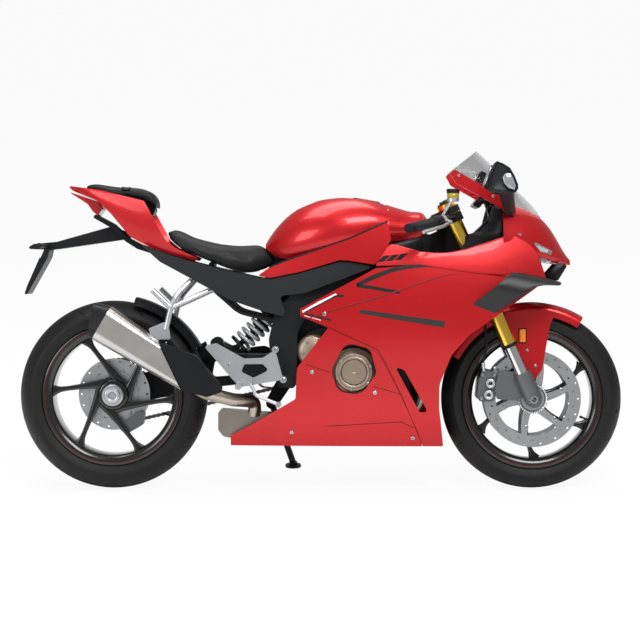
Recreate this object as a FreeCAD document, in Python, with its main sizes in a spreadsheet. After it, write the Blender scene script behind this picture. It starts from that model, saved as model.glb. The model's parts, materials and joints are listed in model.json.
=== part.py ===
"""A road sport motorcycle with a full fairing and a single-sided swingarm, parked on its side stand.

The machine is drawn upright: X runs forward from the rear spindle, Y to the rider's left and Z up from the road.
The last step leans every piece to the left until the tyres and the stand's foot are on the floor.
"""
import FreeCAD, Part
import Sketcher
import math
import os

from FreeCAD import Vector as V

doc = FreeCAD.newDocument("SportMotorcycle")

# Driving dimensions, in millimetres and degrees
SIZES = {
    "wheelbase": 1390.0,
    "lean_angle": 10.0,
    "origin_ahead": 689.0,
    "origin_left": 176.0,
    "rim_seat_radius": 218.0,
    "rim_flange_radius": 232.0,
    "rim_barrel_radius": 200.0,
    "rim_flange_thick": 7.0,
    "seat_clearance": 0.3,
    "bearing_clearance": 0.05,
    "rear_tyre_radius": 312.0,
    "rear_tyre_width": 160.0,
    "rear_crown_rise": 42.0,
    "rear_rim_half": 63.5,
    "front_tyre_radius": 300.0,
    "front_tyre_width": 120.0,
    "front_crown_rise": 36.0,
    "front_rim_half": 44.5,
    "front_hub_radius": 34.0,
    "front_hub_half": 50.0,
    "rear_hub_radius": 53.0,
    "rear_hub_outer": 58.0,
    "rear_hub_inner": 12.0,
    "disc_thick": 5.0,
    "front_disc_radius": 160.0,
    "front_disc_band": 38.0,
    "front_disc_plane": 60.0,
    "rear_disc_radius": 119.0,
    "rear_disc_band": 40.0,
    "disc_hole_radius": 3.5,
    "front_spindle_radius": 12.5,
    "front_spindle_bore": 8.0,
    "front_spindle_half": 120.0,
    "rear_spindle_radius": 25.0,
    "hub_nut_radius": 36.0,
    "stand_bore_radius": 14.0,
    "stand_bore_depth": 70.0,
    "rake_angle": 24.0,
    "fork_offset": 28.0,
    "fork_half_spacing": 100.0,
    "fork_tube_radius": 25.0,
    "fork_inner_radius": 20.5,
    "fork_foot_top": 95.0,
    "fork_tube_bottom": 198.0,
    "fork_tube_top": 706.0,
    "lower_clamp_height": 470.0,
    "lower_clamp_thick": 34.0,
    "upper_clamp_height": 680.0,
    "upper_clamp_thick": 22.0,
    "stem_radius": 15.0,
    "stem_bore_radius": 9.0,
    "stem_bore_depth": 60.0,
    "head_tube_radius": 33.0,
    "bar_radius": 11.0,
    "grip_radius": 16.5,
    "grip_length": 122.0,
    "pivot_ahead": 578.0,
    "pivot_height": 401.0,
    "pivot_bolt_radius": 10.0,
    "spar_inner": 98.0,
    "spar_thick": 24.0,
    "swingarm_inner": 88.0,
    "swingarm_thick": 30.0,
    "hub_carrier_radius": 50.0,
    "hub_carrier_inner": 26.0,
    "chain_plane": 134.0,
    "chain_pitch": 15.875,
    "rear_sprocket_teeth": 43,
    "front_sprocket_teeth": 15,
    "sprocket_thick": 6.0,
    "front_sprocket_ahead": 655.0,
    "front_sprocket_height": 392.0,
    "fairing_wall": 4.0,
    "panel_gap": 0.6,
    "muffler_wall": 3.0,
    "spring_wire_radius": 6.0,
    "spring_radius": 31.0,
    "stand_leg_radius": 11.0,
    "stand_pivot_ahead": 520.0,
    "stand_pivot_left": 124.0,
    "stand_pivot_height": 275.0,
    "stand_foot_ahead": 592.0,
    "stand_foot_left": 268.0,
    "plate_hole_radius": 3.0,
}

sheet = doc.addObject("Spreadsheet::Sheet", "Sizes")
for row, (alias, value) in enumerate(SIZES.items(), start=1):
    sheet.set(f"A{row}", alias)
    sheet.set(f"B{row}", str(value))
    sheet.setAlias(f"B{row}", alias)
doc.recompute()


def size(alias):
    """The value of one cell of the sheet."""
    return float(sheet.get(alias))


REAR = V(0, 0, size("rear_tyre_radius"))
FRONT = V(size("wheelbase"), 0, size("front_tyre_radius"))
SIDEWAYS = V(0, 1, 0)
GAP = size("seat_clearance")
STAND_AXIS = V(-0.1, 1, 0.286).normalize()
SHOCK_BAR = (575, 600)
DRAWN_WHEELBASE = 1390.0
DRAWN_PIVOT = 600.0
DRAWN_HEAD = 1050.0


def along(x):
    """A place along the bodywork: fixed behind the pivot, moved with the front spindle ahead of the steering head."""
    share = min(max((x - DRAWN_PIVOT) / (DRAWN_HEAD - DRAWN_PIVOT), 0.0), 1.0)
    return x + share * (size("wheelbase") - DRAWN_WHEELBASE)


# How the upright machine is put on its stand
def crown_radius(width, rise):
    """The radius of a tyre's crown arc from its shoulder's width and its rise."""
    half = width / 2 - 2
    return (half * half + rise * rise) / (2 * rise)


REAR_CROWN = crown_radius(size("rear_tyre_width"), size("rear_crown_rise"))
FRONT_CROWN = crown_radius(size("front_tyre_width"), size("front_crown_rise"))


def stance():
    """Leans the machine to its left and lifts both tyres, which roll onto their shoulders, back to the floor."""
    lean = math.radians(size("lean_angle"))
    rear_lift = REAR_CROWN * (1 - math.cos(lean))
    front_lift = FRONT_CROWN * (1 - math.cos(lean))
    pitch = math.degrees(math.atan2(rear_lift - front_lift, size("wheelbase")))
    leaned = FreeCAD.Placement(V(0, 0, 0), FreeCAD.Rotation(V(1, 0, 0), -size("lean_angle")))
    pitched = FreeCAD.Placement(V(0, 0, rear_lift), FreeCAD.Rotation(V(0, 1, 0), pitch))
    moved = FreeCAD.Placement(V(-size("origin_ahead"), -size("origin_left"), 0), FreeCAD.Rotation())
    return moved.multiply(pitched.multiply(leaned))


STANCE = stance()
FORK = FreeCAD.Placement(FRONT, FreeCAD.Rotation(SIDEWAYS, -size("rake_angle")))
pieces = {}


def upright(label):
    """A finished piece's shape before the machine was leaned."""
    return pieces[label].Shape.transformed(STANCE.inverse().toMatrix())


def keep(label, thing):
    """Names a finished object as one piece and stands it with the machine."""
    thing.Label = label
    thing.Placement = STANCE.multiply(thing.Placement)
    pieces[label] = thing
    return thing


def piece(label, shape):
    """One piece from a shape worked out below."""
    feature = doc.addObject("Part::Feature", label)
    feature.Shape = shape
    return keep(label, feature)


# Outlines, prisms, turned forms and tubes
def corner_wire(corners, place, closed=True):
    """Straight runs between corners (a, b, radius), each corner rounded by a tangent arc, set in space by place(a, b)."""
    points = [V(c[0], c[1], 0) for c in corners]
    radii = [c[2] if len(c) > 2 else 0.0 for c in corners]
    count = len(points)
    ins, outs, mids = [], [], []
    for i, here in enumerate(points):
        open_end = not closed and i in (0, count - 1)
        back = points[i - 1] - here
        ahead = points[(i + 1) % count] - here
        straight = back.cross(ahead).Length < 1e-3 * back.Length * ahead.Length
        if radii[i] <= 0 or open_end or straight:
            ins.append(here)
            outs.append(here)
            mids.append(None)
            continue
        half = back.getAngle(ahead) / 2
        reach = min(radii[i] / math.tan(half), 0.47 * back.Length, 0.47 * ahead.Length)
        radius = reach * math.tan(half)
        back.normalize()
        ahead.normalize()
        middle = back + ahead
        middle.normalize()
        ins.append(here + back * reach)
        outs.append(here + ahead * reach)
        mids.append(here + middle * (radius / math.sin(half) - radius))
    edges = []
    for i in range(count):
        if mids[i] is not None:
            arc = [place(p.x, p.y) for p in (ins[i], mids[i], outs[i])]
            edges.append(Part.Arc(*arc).toShape())
        if i < count - 1 or closed:
            start, end = outs[i], ins[(i + 1) % count]
            if (end - start).Length > 1e-6:
                edges.append(Part.LineSegment(place(start.x, start.y), place(end.x, end.y)).toShape())
    return Part.Wire(edges)


def side_outline(corners, y=0.0):
    """A closed outline seen from the side."""
    return corner_wire(corners, lambda a, b: V(a, y, b))


def slab(corners, low, high):
    """A plate whose outline is seen from the side, from y = low to y = high."""
    return Part.Face(side_outline(corners, low)).extrude(V(0, high - low, 0))


def plan_slab(corners, low, high):
    """A plate whose outline is seen from above, from z = low to z = high."""
    wire = corner_wire(corners, lambda a, b: V(a, b, low))
    return Part.Face(wire).extrude(V(0, 0, high - low))


def turned(corners, centre=V(0, 0, 0), angle=360):
    """A form turned about the line through centre along Y, from an outline of (radius, y) corners."""
    wire = corner_wire(corners, lambda a, b: V(centre.x + a, b, centre.z))
    return Part.Face(wire).revolve(V(centre.x, 0, centre.z), SIDEWAYS, angle)


def rod(start, end, radius, bore=0.0):
    """A round bar between two points, with an optional bore."""
    run = end - start
    bar = Part.makeCylinder(radius, run.Length, start, run)
    if bore > 0:
        bar = bar.cut(Part.makeCylinder(bore, run.Length, start, run))
    return bar


def bent_path(points, bend):
    """A wire of straight runs through points, joined by tangent arcs of the radius bend."""
    edges, start = [], points[0]
    for before, here, after in zip(points, points[1:], points[2:]):
        back, ahead = before - here, after - here
        half = back.getAngle(ahead) / 2
        reach = min(bend / math.tan(half), 0.45 * back.Length, 0.45 * ahead.Length)
        radius = reach * math.tan(half)
        back.normalize()
        ahead.normalize()
        middle = back + ahead
        middle.normalize()
        first, last = here + back * reach, here + ahead * reach
        edges.append(Part.LineSegment(start, first).toShape())
        edges.append(Part.Arc(first, here + middle * (radius / math.sin(half) - radius), last).toShape())
        start = last
    edges.append(Part.LineSegment(start, points[-1]).toShape())
    return Part.Wire(edges)


def bent_tube(points, radius, bend, bore=0.0):
    """A round tube along straight runs and tangent arcs."""
    path = bent_path(points, bend)
    run = points[1] - points[0]
    ring = Part.Wire(Part.makeCircle(radius, points[0], run))
    tube = path.makePipeShell([ring], True, False)
    if bore > 0:
        hole = Part.Wire(Part.makeCircle(bore, points[0], run))
        tube = tube.cut(path.makePipeShell([hole], True, False))
    return tube


def joined(shapes):
    """Several overlapping forms as one solid."""
    shapes = list(shapes)
    return shapes[0].fuse(shapes[1:]).removeSplitter()


def both_sides(shape):
    """A form and its mirror image across the machine's middle, as one set of solids."""
    return Part.makeCompound([shape, mirrored(shape)])


def mirrored(shape):
    """The same form on the machine's other side."""
    return shape.mirror(V(0, 0, 0), SIDEWAYS)


def spline(points):
    curve = Part.BSplineCurve()
    curve.interpolate(points)
    return curve.toShape()


def hull_section(x, half, low, high, profile):
    """A closed cross-section at x: both flanks are one curve through shares of its half width and its height."""
    height = high - low
    flank = [(half * across, low + height * up) for across, up in profile]
    right = [V(x, -y, z) for y, z in flank]
    left = [V(x, y, z) for y, z in reversed(flank)]
    top = Part.LineSegment(right[-1], left[0]).toShape()
    bottom = Part.LineSegment(left[-1], right[0]).toShape()
    return Part.Wire([spline(right), top, spline(left), bottom])


def hull(stations, profile):
    """A solid lofted along the machine through cross-sections (x, half width, low, high)."""
    return Part.makeLoft([hull_section(along(x), *rest, profile) for x, *rest in stations], True, False)


OVER = 25.0


def shell(stations, profile, wall):
    """The wall of a hull, open at its top, its front and its rear."""
    inner = [(x, half - wall, low + wall, high + OVER) for x, half, low, high in stations]
    return hull(stations, profile).cut(hull(inner, profile))


def bodyside(corners):
    """Corners of an outline with their places along the machine worked out."""
    return [(along(c[0]), *c[1:]) for c in corners]


def right_side(skin, corners, inside=0.5, outside=400.0):
    """What of a skin lies within an outline seen from the side, on the machine's right."""
    return skin.common(slab(bodyside(corners), -outside, -inside))


def one_solid(shape):
    """The largest solid of a shape, without slivers left by a cut."""
    return max(shape.Solids, key=lambda s: s.Volume)


# Sketched bodies, whose sizes follow the sheet
def sketched_body(label, plane="XY_Plane"):
    """A body with one sketch on one of its own planes."""
    body = doc.addObject("PartDesign::Body", label)
    sketch = body.newObject("Sketcher::SketchObject", label + "Outline")
    support = next(f for f in body.Origin.OriginFeatures if f.Role == plane)
    sketch.AttachmentSupport = [(support, "")]
    sketch.MapMode = "FlatFace"
    return body, sketch


def bound_outline(sketch, corners):
    """A closed outline whose corners (across, up) are expressions; a third one bends the next run to that radius."""
    places = [V(float(sketch.evalExpression(c[0])), float(sketch.evalExpression(c[1])), 0) for c in corners]
    count = len(corners)
    first = sketch.GeometryCount
    for i, corner in enumerate(corners):
        start, end = places[i], places[(i + 1) % count]
        if len(corner) == 2:
            sketch.addGeometry(Part.LineSegment(start, end), False)
            continue
        bend = float(sketch.evalExpression(corner[2]))
        half = (end - start).Length / 2
        across = V(-(end - start).y, (end - start).x, 0).normalize()
        centre = (start + end) / 2 + across * math.sqrt(max(bend * bend - half * half, 0))
        middle = centre - across * bend
        sketch.addGeometry(Part.Arc(start, middle, end), False)
    for i, corner in enumerate(corners):
        here, ahead = first + i, first + (i + 1) % count
        arc = sketch.Geometry[here]
        start_point = 1
        end_point = 2
        if isinstance(arc, Part.ArcOfCircle):
            starts_here = (arc.StartPoint - places[i]).Length < 1e-6
            start_point, end_point = (1, 2) if starts_here else (2, 1)
        following = sketch.Geometry[ahead]
        next_start = 1
        if isinstance(following, Part.ArcOfCircle):
            next_start = 1 if (following.StartPoint - places[(i + 1) % count]).Length < 1e-6 else 2
        sketch.addConstraint(Sketcher.Constraint("Coincident", here, end_point, ahead, next_start))
        for kind, expression in (("DistanceX", corner[0]), ("DistanceY", corner[1])):
            value = float(sketch.evalExpression(expression))
            index = sketch.addConstraint(Sketcher.Constraint(kind, -1, 1, here, start_point, value))
            sketch.setExpression(f"Constraints[{index}]", expression)
        if len(corner) == 3:
            index = sketch.addConstraint(Sketcher.Constraint("Radius", here, float(sketch.evalExpression(corner[2]))))
            sketch.setExpression(f"Constraints[{index}]", corner[2])


def turned_body(label, corners, place=FreeCAD.Placement()):
    """A body turned about its own Y axis from an outline of (radius, across) expressions."""
    body, sketch = sketched_body(label)
    bound_outline(sketch, corners)
    turn = body.newObject("PartDesign::Revolution", label + "Turned")
    turn.Profile = sketch
    turn.ReferenceAxis = (sketch, ["V_Axis"])
    turn.Angle = 360
    body.Placement = place
    return body


def at(point):
    return FreeCAD.Placement(point, FreeCAD.Rotation())


def bound_cylinder(name, radius, height, place):
    """A round bar along the Z axis of its place, with its radius and length bound to the sheet."""
    bar = doc.addObject("Part::Cylinder", name)
    bar.setExpression("Radius", radius)
    bar.setExpression("Height", height)
    bar.Placement = place
    return bar


# Wheels
def tyre(label, end, centre):
    """A tyre on its rim: beads between the flanges, bulging walls and a round crown."""
    inner = "Sizes.rim_seat_radius + Sizes.seat_clearance"
    bead = f"Sizes.{end}_rim_half - Sizes.seat_clearance"
    over = "Sizes.rim_flange_radius + 2.5"
    wall = f"Sizes.{end}_rim_half + Sizes.rim_flange_thick"
    shoulder = f"Sizes.{end}_tyre_radius - Sizes.{end}_crown_rise"
    half = f"Sizes.{end}_tyre_width / 2 - 2"
    crown = f"(({half})^2 + Sizes.{end}_crown_rise^2) / (2 * Sizes.{end}_crown_rise)"
    corners = [
        (inner, bead),
        (inner, f"-({bead})"),
        (over, f"-({bead})"),
        (over, f"-({wall})"),
        (shoulder, f"-({half})", crown),
        (shoulder, half),
        (over, wall),
        (over, bead),
    ]
    return keep(label, turned_body(label, corners, at(centre)))


def rim_ring(half, centre):
    """A cast rim's turned ring: flanges, bead seats and a well."""
    seat = size("rim_seat_radius")
    flange = size("rim_flange_radius")
    barrel = size("rim_barrel_radius")
    edge = half + size("rim_flange_thick")
    well = barrel + 5
    outline = [
        (barrel, -half + 6, 3),
        (seat - 6, -edge, 2),
        (flange, -edge, 3),
        (flange, -half, 2),
        (seat, -half),
        (seat, -half + 16),
        (well, -half + 22),
        (well, half - 22),
        (seat, half - 16),
        (seat, half),
        (flange, half, 2),
        (flange, edge, 3),
        (seat - 6, edge, 2),
        (barrel, half - 6, 3),
    ]
    return turned(outline, centre)


def swept_spoke(inner, outer, hub_angle, rim_angle, hub_width, rim_width, low, high, centre):
    """A curved blade spoke that thins from the hub to the rim; both angles are seen from the right."""
    left, right = [], []
    for step in range(5):
        share = step / 4
        radius = inner + (outer - inner) * share
        angle = math.radians(hub_angle + (rim_angle - hub_angle) * share ** 0.8)
        half = (hub_width + (rim_width - hub_width) * share) / 2
        middle = V(radius * math.cos(angle), low, radius * math.sin(angle))
        side = V(-math.sin(angle), 0, math.cos(angle)) * half
        left.append(centre + middle + side)
        right.append(centre + middle - side)
    right.reverse()
    outline = Part.Wire([
        spline(left),
        Part.LineSegment(left[-1], right[0]).toShape(),
        spline(right),
        Part.LineSegment(right[-1], left[0]).toShape(),
    ])
    return Part.Face(outline).extrude(V(0, high - low, 0))


def rear_rim():
    """Six swept blades near the wheel's right face, and a hub that the spindle's flange clamps."""
    centre = REAR
    hub = size("rear_hub_radius")
    outer = -size("rear_hub_outer")
    inner = -size("rear_hub_inner")
    bore = size("rear_spindle_radius") + size("seat_clearance")
    ring = turned([(bore, outer, 0), (hub - 6, outer, 5), (hub, outer + 10, 4), (hub, inner, 2), (bore, inner)], centre)
    spokes = []
    for k in range(6):
        angle = 55 + 60 * k
        spokes.append(swept_spoke(hub - 8, size("rim_barrel_radius") + 2, angle - 36, angle, 34, 17,
                                  outer + 8, outer + 30, centre))
    return piece("rear_rim", joined([ring, rim_ring(size("rear_rim_half"), centre), *spokes]))


def front_rim():
    """Six spokes that fork before the rim, on a hub that runs on the spindle."""
    centre = FRONT
    hub = size("front_hub_radius")
    half = size("front_hub_half")
    bore = size("front_spindle_radius") + size("bearing_clearance")
    ring = turned([(bore, -half), (hub - 4, -half, 3), (hub, -half + 12, 3), (hub, half - 12, 3), (hub - 4, half, 3),
                   (bore, half)], centre)
    outer = size("rim_barrel_radius") + 2
    parts = [ring, rim_ring(size("front_rim_half"), centre)]
    for k in range(6):
        middle = 30 + 60 * k
        for turn in (-1, 1):
            parts.append(swept_spoke(hub - 6, outer, middle + turn * 5, middle + turn * 11, 17, 13, -13, 13, centre))
    return piece("front_rim", joined(parts))


def disc_ring(label, radius, band, plane, centre, rows, carrier=0.0):
    """A brake disc's flat ring with rows of drilled holes."""
    body, sketch = sketched_body(label, "XZ_Plane")
    outer = sketch.addGeometry(Part.Circle(V(0, 0, 0), V(0, 0, 1), size(radius)), False)
    inner = sketch.addGeometry(Part.Circle(V(0, 0, 0), V(0, 0, 1), size(radius) - size(band)), False)
    for circle, expression in ((outer, f"Sizes.{radius}"), (inner, f"Sizes.{radius} - Sizes.{band}")):
        sketch.addConstraint(Sketcher.Constraint("Coincident", circle, 3, -1, 1))
        index = sketch.addConstraint(Sketcher.Constraint("Radius", circle, float(sketch.evalExpression(expression))))
        sketch.setExpression(f"Constraints[{index}]", expression)
    pad = body.newObject("PartDesign::Pad", label + "Ring")
    pad.Profile = sketch
    pad.setExpression("Length", "Sizes.disc_thick")
    pad.Midplane = True
    doc.recompute()
    tip = pad
    for row, (share, count, start) in enumerate(rows):
        hole_sketch = body.newObject("Sketcher::SketchObject", f"{label}Row{row}")
        support = next(f for f in body.Origin.OriginFeatures if f.Role == "XZ_Plane")
        hole_sketch.AttachmentSupport = [(support, "")]
        hole_sketch.MapMode = "FlatFace"
        reach = f"(Sizes.{radius} - Sizes.{band} * {share})"
        across = f"{reach} * cos({start})"
        up = f"{reach} * sin({start})"
        spot = V(float(hole_sketch.evalExpression(across)), float(hole_sketch.evalExpression(up)), 0)
        circle = hole_sketch.addGeometry(Part.Circle(spot, V(0, 0, 1), size("disc_hole_radius")), False)
        for kind, expression in (("DistanceX", across), ("DistanceY", up)):
            value = float(hole_sketch.evalExpression(expression))
            index = hole_sketch.addConstraint(Sketcher.Constraint(kind, -1, 1, circle, 3, value))
            hole_sketch.setExpression(f"Constraints[{index}]", expression)
        index = hole_sketch.addConstraint(Sketcher.Constraint("Radius", circle, size("disc_hole_radius")))
        hole_sketch.setExpression(f"Constraints[{index}]", "Sizes.disc_hole_radius")
        pocket = body.newObject("PartDesign::Pocket", f"{label}Drilled{row}")
        pocket.Profile = hole_sketch
        pocket.Type = "ThroughAll"
        pocket.Midplane = True
        ring = body.newObject("PartDesign::PolarPattern", f"{label}Holes{row}")
        ring.Originals = [pocket]
        ring.Axis = (hole_sketch, ["N_Axis"])
        ring.Angle = 360
        ring.Occurrences = count
        body.Tip = ring
        tip = ring
    doc.recompute()
    body.Placement = at(centre + V(0, plane, 0))
    return body


def wheels():
    """Both tyres, rims and discs, with what turns with them."""
    tyre("front_tyre", "front", FRONT)
    tyre("rear_tyre", "rear", REAR)
    front_rim()
    rear_rim()
    rows = [(0.25, 18, "0 deg"), (0.62, 18, "10 deg")]
    rings = [disc_ring(f"FrontDisc{side}", "front_disc_radius", "front_disc_band", plane, FRONT, rows)
             for side, plane in (("Right", -size("front_disc_plane")), ("Left", size("front_disc_plane")))]
    piece("front_discs", Part.makeCompound([ring.Shape.copy() for ring in rings] + front_carriers()))
    rear_plane = -size("rear_hub_inner") + size("disc_thick") / 2 + 6
    keep("rear_disc", disc_ring("RearDisc", "rear_disc_radius", "rear_disc_band", rear_plane, REAR, rows[:1]))
    rear_hub()


def front_carriers():
    """A six-armed carrier inside each front disc, on the hub's end."""
    plane = size("front_disc_plane")
    inner = size("front_disc_radius") - size("front_disc_band") - GAP
    half = size("disc_thick") / 2
    bore = size("front_spindle_radius") + 4
    arms = [turned([(bore, plane - half - 3), (46, plane - half - 3), (46, plane + half), (bore, plane + half)], FRONT)]
    arms.append(turned([(bore, size("front_hub_half") + GAP), (30, size("front_hub_half") + GAP), (30, plane),
                        (bore, plane)], FRONT))
    for k in range(6):
        arms.append(swept_spoke(40, inner, 5 + 60 * k, 17 + 60 * k, 26, 20, plane - half, plane + half, FRONT))
    carrier = joined(arms)
    return both_sides(carrier).Solids


def rear_hub():
    """The hollow spindle that turns in the swingarm, its flange and disc seat, and the nut that holds the wheel."""
    radius = size("rear_spindle_radius")
    seat = -size("rear_hub_inner") + GAP
    outer = -size("rear_hub_outer")
    arm_inner = size("hub_carrier_inner")
    arm_outer = size("swingarm_inner") + size("swingarm_thick")
    disc_inner = size("rear_disc_radius") - size("rear_disc_band") - GAP
    bore = size("stand_bore_radius")
    end = size("chain_plane") + size("sprocket_thick") / 2 + 8
    depth = size("stand_bore_depth")
    outline = [
        (0, outer - 16), (radius, outer - 16), (radius, seat),
        (disc_inner, seat), (disc_inner, seat + 11), (44, seat + 11), (44, arm_inner - 6), (radius, arm_inner - 6),
        (radius, arm_outer + 1), (44, arm_outer + 1), (44, arm_outer + 7), (radius, arm_outer + 7),
        (radius, end), (bore, end), (bore, end - depth), (0, end - depth),
    ]
    piece("rear_spindle", turned(outline, REAR))
    nut_seat = outer - GAP
    nut = turned([(radius + GAP, nut_seat), (size("hub_nut_radius"), nut_seat), (size("hub_nut_radius"), outer - 14, 2),
                  (radius + 6, outer - 18, 2), (radius + GAP, outer - 18)], REAR)
    piece("rear_hub_nut", nut)
    teeth = int(size("rear_sprocket_teeth"))
    pitch_radius = size("chain_pitch") / (2 * math.sin(math.pi / teeth))
    piece("rear_sprocket", sprocket(pitch_radius, teeth, radius + GAP, 62, 88, REAR))


def sprocket(pitch_radius, teeth, bore, window_inner, window_outer, centre):
    """A toothed ring with windows: each tooth is a short run between two round roots."""
    low = size("chain_plane") - size("sprocket_thick") / 2
    high = size("chain_plane") + size("sprocket_thick") / 2
    points = []
    for tooth in range(teeth):
        for share, radius in ((0.0, pitch_radius - 4.5), (0.36, pitch_radius + 3.5), (0.64, pitch_radius + 3.5)):
            angle = 2 * math.pi * (tooth + share) / teeth
            points.append((centre.x + radius * math.cos(angle), centre.z + radius * math.sin(angle)))
    wheel = slab(points, low, high)
    wheel = wheel.cut(Part.makeCylinder(bore, high - low, V(centre.x, low, centre.z), SIDEWAYS))
    if window_inner > 0:
        middle = (window_inner + window_outer) / 2
        reach = (window_outer - window_inner) / 2
        for k in range(6):
            angle = math.pi * k / 3
            spot = V(centre.x + middle * math.cos(angle), low, centre.z + middle * math.sin(angle))
            wheel = wheel.cut(Part.makeCylinder(reach, high - low, spot, SIDEWAYS))
    return wheel


# Fork, clamps and bars; heights are measured along the fork legs from the spindle
def fork_place(across, ahead, height):
    """A place in the fork's own frame as a place on the machine."""
    return FORK.multVec(V(ahead, across, height))


def fork_rod(across, low, high, radius, bore=0.0, ahead=0.0):
    return rod(fork_place(across, ahead, low), fork_place(across, ahead, high), radius, bore)


def in_fork(shape):
    """Turns a shape drawn in the fork's own frame to the fork's rake."""
    turned_shape = shape.copy()
    turned_shape.Placement = FORK.multiply(turned_shape.Placement)
    return turned_shape


def fork_feet():
    """A cast foot on each leg, which holds the spindle and the caliper."""
    half = size("fork_half_spacing")
    top = size("fork_foot_top")
    spindle = size("front_spindle_radius") + size("bearing_clearance")
    inner = size("fork_inner_radius")
    body = fork_rod(half, -6, top, inner + 9)
    boss = rod(FRONT + V(0, half - 26, 0), FRONT + V(0, half + 16, 0), 27)
    lug_points = [(1275, 392, 8), (1352, 392, 6), (1376, 318, 10), (1340, 296, 10), (1270, 300, 8), (1262, 330, 8)]
    lug = slab([(FRONT.x - DRAWN_WHEELBASE + x, z, r) for x, z, r in lug_points], half - 18, half - 6)
    foot = joined([body, boss, lug])
    foot = foot.cut(fork_rod(half, 24, top + 60, inner + GAP))
    foot = foot.cut(rod(FRONT, FRONT + V(0, 200, 0), spindle))
    piece("fork_feet", both_sides(foot))


def fork():
    """Gold outer tubes above, bright inner tubes below, between two clamps."""
    half = size("fork_half_spacing")
    outer = size("fork_tube_radius")
    inner = size("fork_inner_radius")
    upper_low = size("upper_clamp_height") - size("upper_clamp_thick") / 2
    lower_high = size("lower_clamp_height") + size("lower_clamp_thick") / 2
    tube = fork_rod(half, size("fork_tube_bottom"), size("fork_tube_top"), outer)
    tube = tube.cut(fork_rod(half, size("fork_tube_bottom"), size("fork_tube_bottom") + 60, inner + GAP))
    piece("fork_outer_tubes", both_sides(tube))
    slider = fork_rod(half, 24 + GAP, size("fork_tube_bottom") + 60 - GAP, inner)
    piece("fork_inner_tubes", both_sides(slider))
    fork_feet()
    reach = V(0, size("front_spindle_half"), 0)
    piece("front_spindle", rod(FRONT - reach, FRONT + reach, size("front_spindle_radius"), size("front_spindle_bore")))
    for label, middle, thick in (("lower_clamp", size("lower_clamp_height"), size("lower_clamp_thick")),
                                 ("upper_clamp", size("upper_clamp_height"), size("upper_clamp_thick"))):
        low, high = middle - thick / 2, middle + thick / 2
        offset = size("fork_offset")
        web = [(-offset - 30, -24, 18), (-offset - 30, 24, 18), (-24, half + 4, 14), (10, half + 30, 14),
               (30, half + 4, 16), (30, half - 26, 14), (4, 30, 20), (4, -30, 20), (30, -half + 26, 14),
               (30, -half - 4, 16), (10, -half - 30, 14), (-24, -half - 4, 14)]
        plate = in_fork(plan_slab(web, low, high))
        for side in (-1, 1):
            plate = plate.fuse(fork_rod(side * half, low, high, outer + 9))
            plate = plate.cut(fork_rod(side * half, low, high, outer + GAP))
        stem = size("stem_radius")
        if label == "lower_clamp":
            plate = plate.fuse(fork_rod(0, high - 1, upper_low + thick / 2, stem, 0, -offset))
            depth = size("stem_bore_depth")
            plate = plate.cut(fork_rod(0, low - 1, low + depth, size("stem_bore_radius"), 0, -offset))
        else:
            plate = plate.cut(fork_rod(0, low, high, stem + GAP, 0, -offset))
        piece(label, plate.removeSplitter())
    return lower_high, upper_low


def handlebars():
    """A clamp on each fork leg under the upper clamp carries a short bar with its grip."""
    half = size("fork_half_spacing")
    outer = size("fork_tube_radius")
    top = size("upper_clamp_height") - size("upper_clamp_thick") / 2 - 1
    low = top - 30
    ring = fork_rod(half, low, top, outer + 8, outer + GAP)
    start = fork_place(half + outer + 4, 0, (low + top) / 2)
    grip_out = V(along(981), 322, 862)
    run = grip_out - start
    run.normalize()
    grip_in = grip_out - run * size("grip_length")
    weight = rod(grip_out + run * GAP, grip_out + run * 22, size("grip_radius") - 1)
    bar = rod(start, grip_out + run * 2, size("bar_radius"))
    clamp = joined([ring, bar.cut(fork_rod(half, low - 20, top + 20, outer + 4)), weight])
    piece("handlebars", both_sides(one_solid(clamp)))
    grip = rod(grip_in, grip_out - run * GAP, size("grip_radius"), size("bar_radius") + GAP)
    piece("grips", both_sides(grip))
    switch_out = grip_in - run * GAP
    switch = rod(switch_out - run * 38, switch_out, 21, size("bar_radius") + GAP)
    perch_out = switch_out - run * 40
    perch = rod(perch_out - run * 22, perch_out, 17, size("bar_radius") + GAP)
    piece("bar_controls", both_sides(switch))
    forward = V(0, 0, 1).cross(run)
    if forward.x < 0:
        forward = forward * -1
    down = V(0, 0, -1)
    knuckle = perch_out - run * 11 + forward * 16
    pivot = knuckle + forward * 26 + run * 14 + down * 4
    lever_points = [pivot, pivot + run * 50 + forward * 8 + down * 6, pivot + run * 150 + down * 12 + forward * -4]
    arm = rod(knuckle, pivot, 8)
    lever = bent_tube(lever_points, 5.5, 60)
    lever = one_solid(joined([perch, arm, lever]))
    cup = perch_out - run * 11 + forward * 44 + V(0, 0, 62)
    reservoir = Part.makeCylinder(19, 40, cup, V(0, 0, 1))
    neck = rod(perch_out - run * 11 + V(0, 0, 14), cup + V(0, 0, 12), 5)
    with_cup = one_solid(joined([lever, reservoir, neck]).cut(rod(start, grip_out, size("bar_radius") + GAP)))
    piece("levers", Part.makeCompound([lever, mirrored(with_cup)]))


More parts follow.
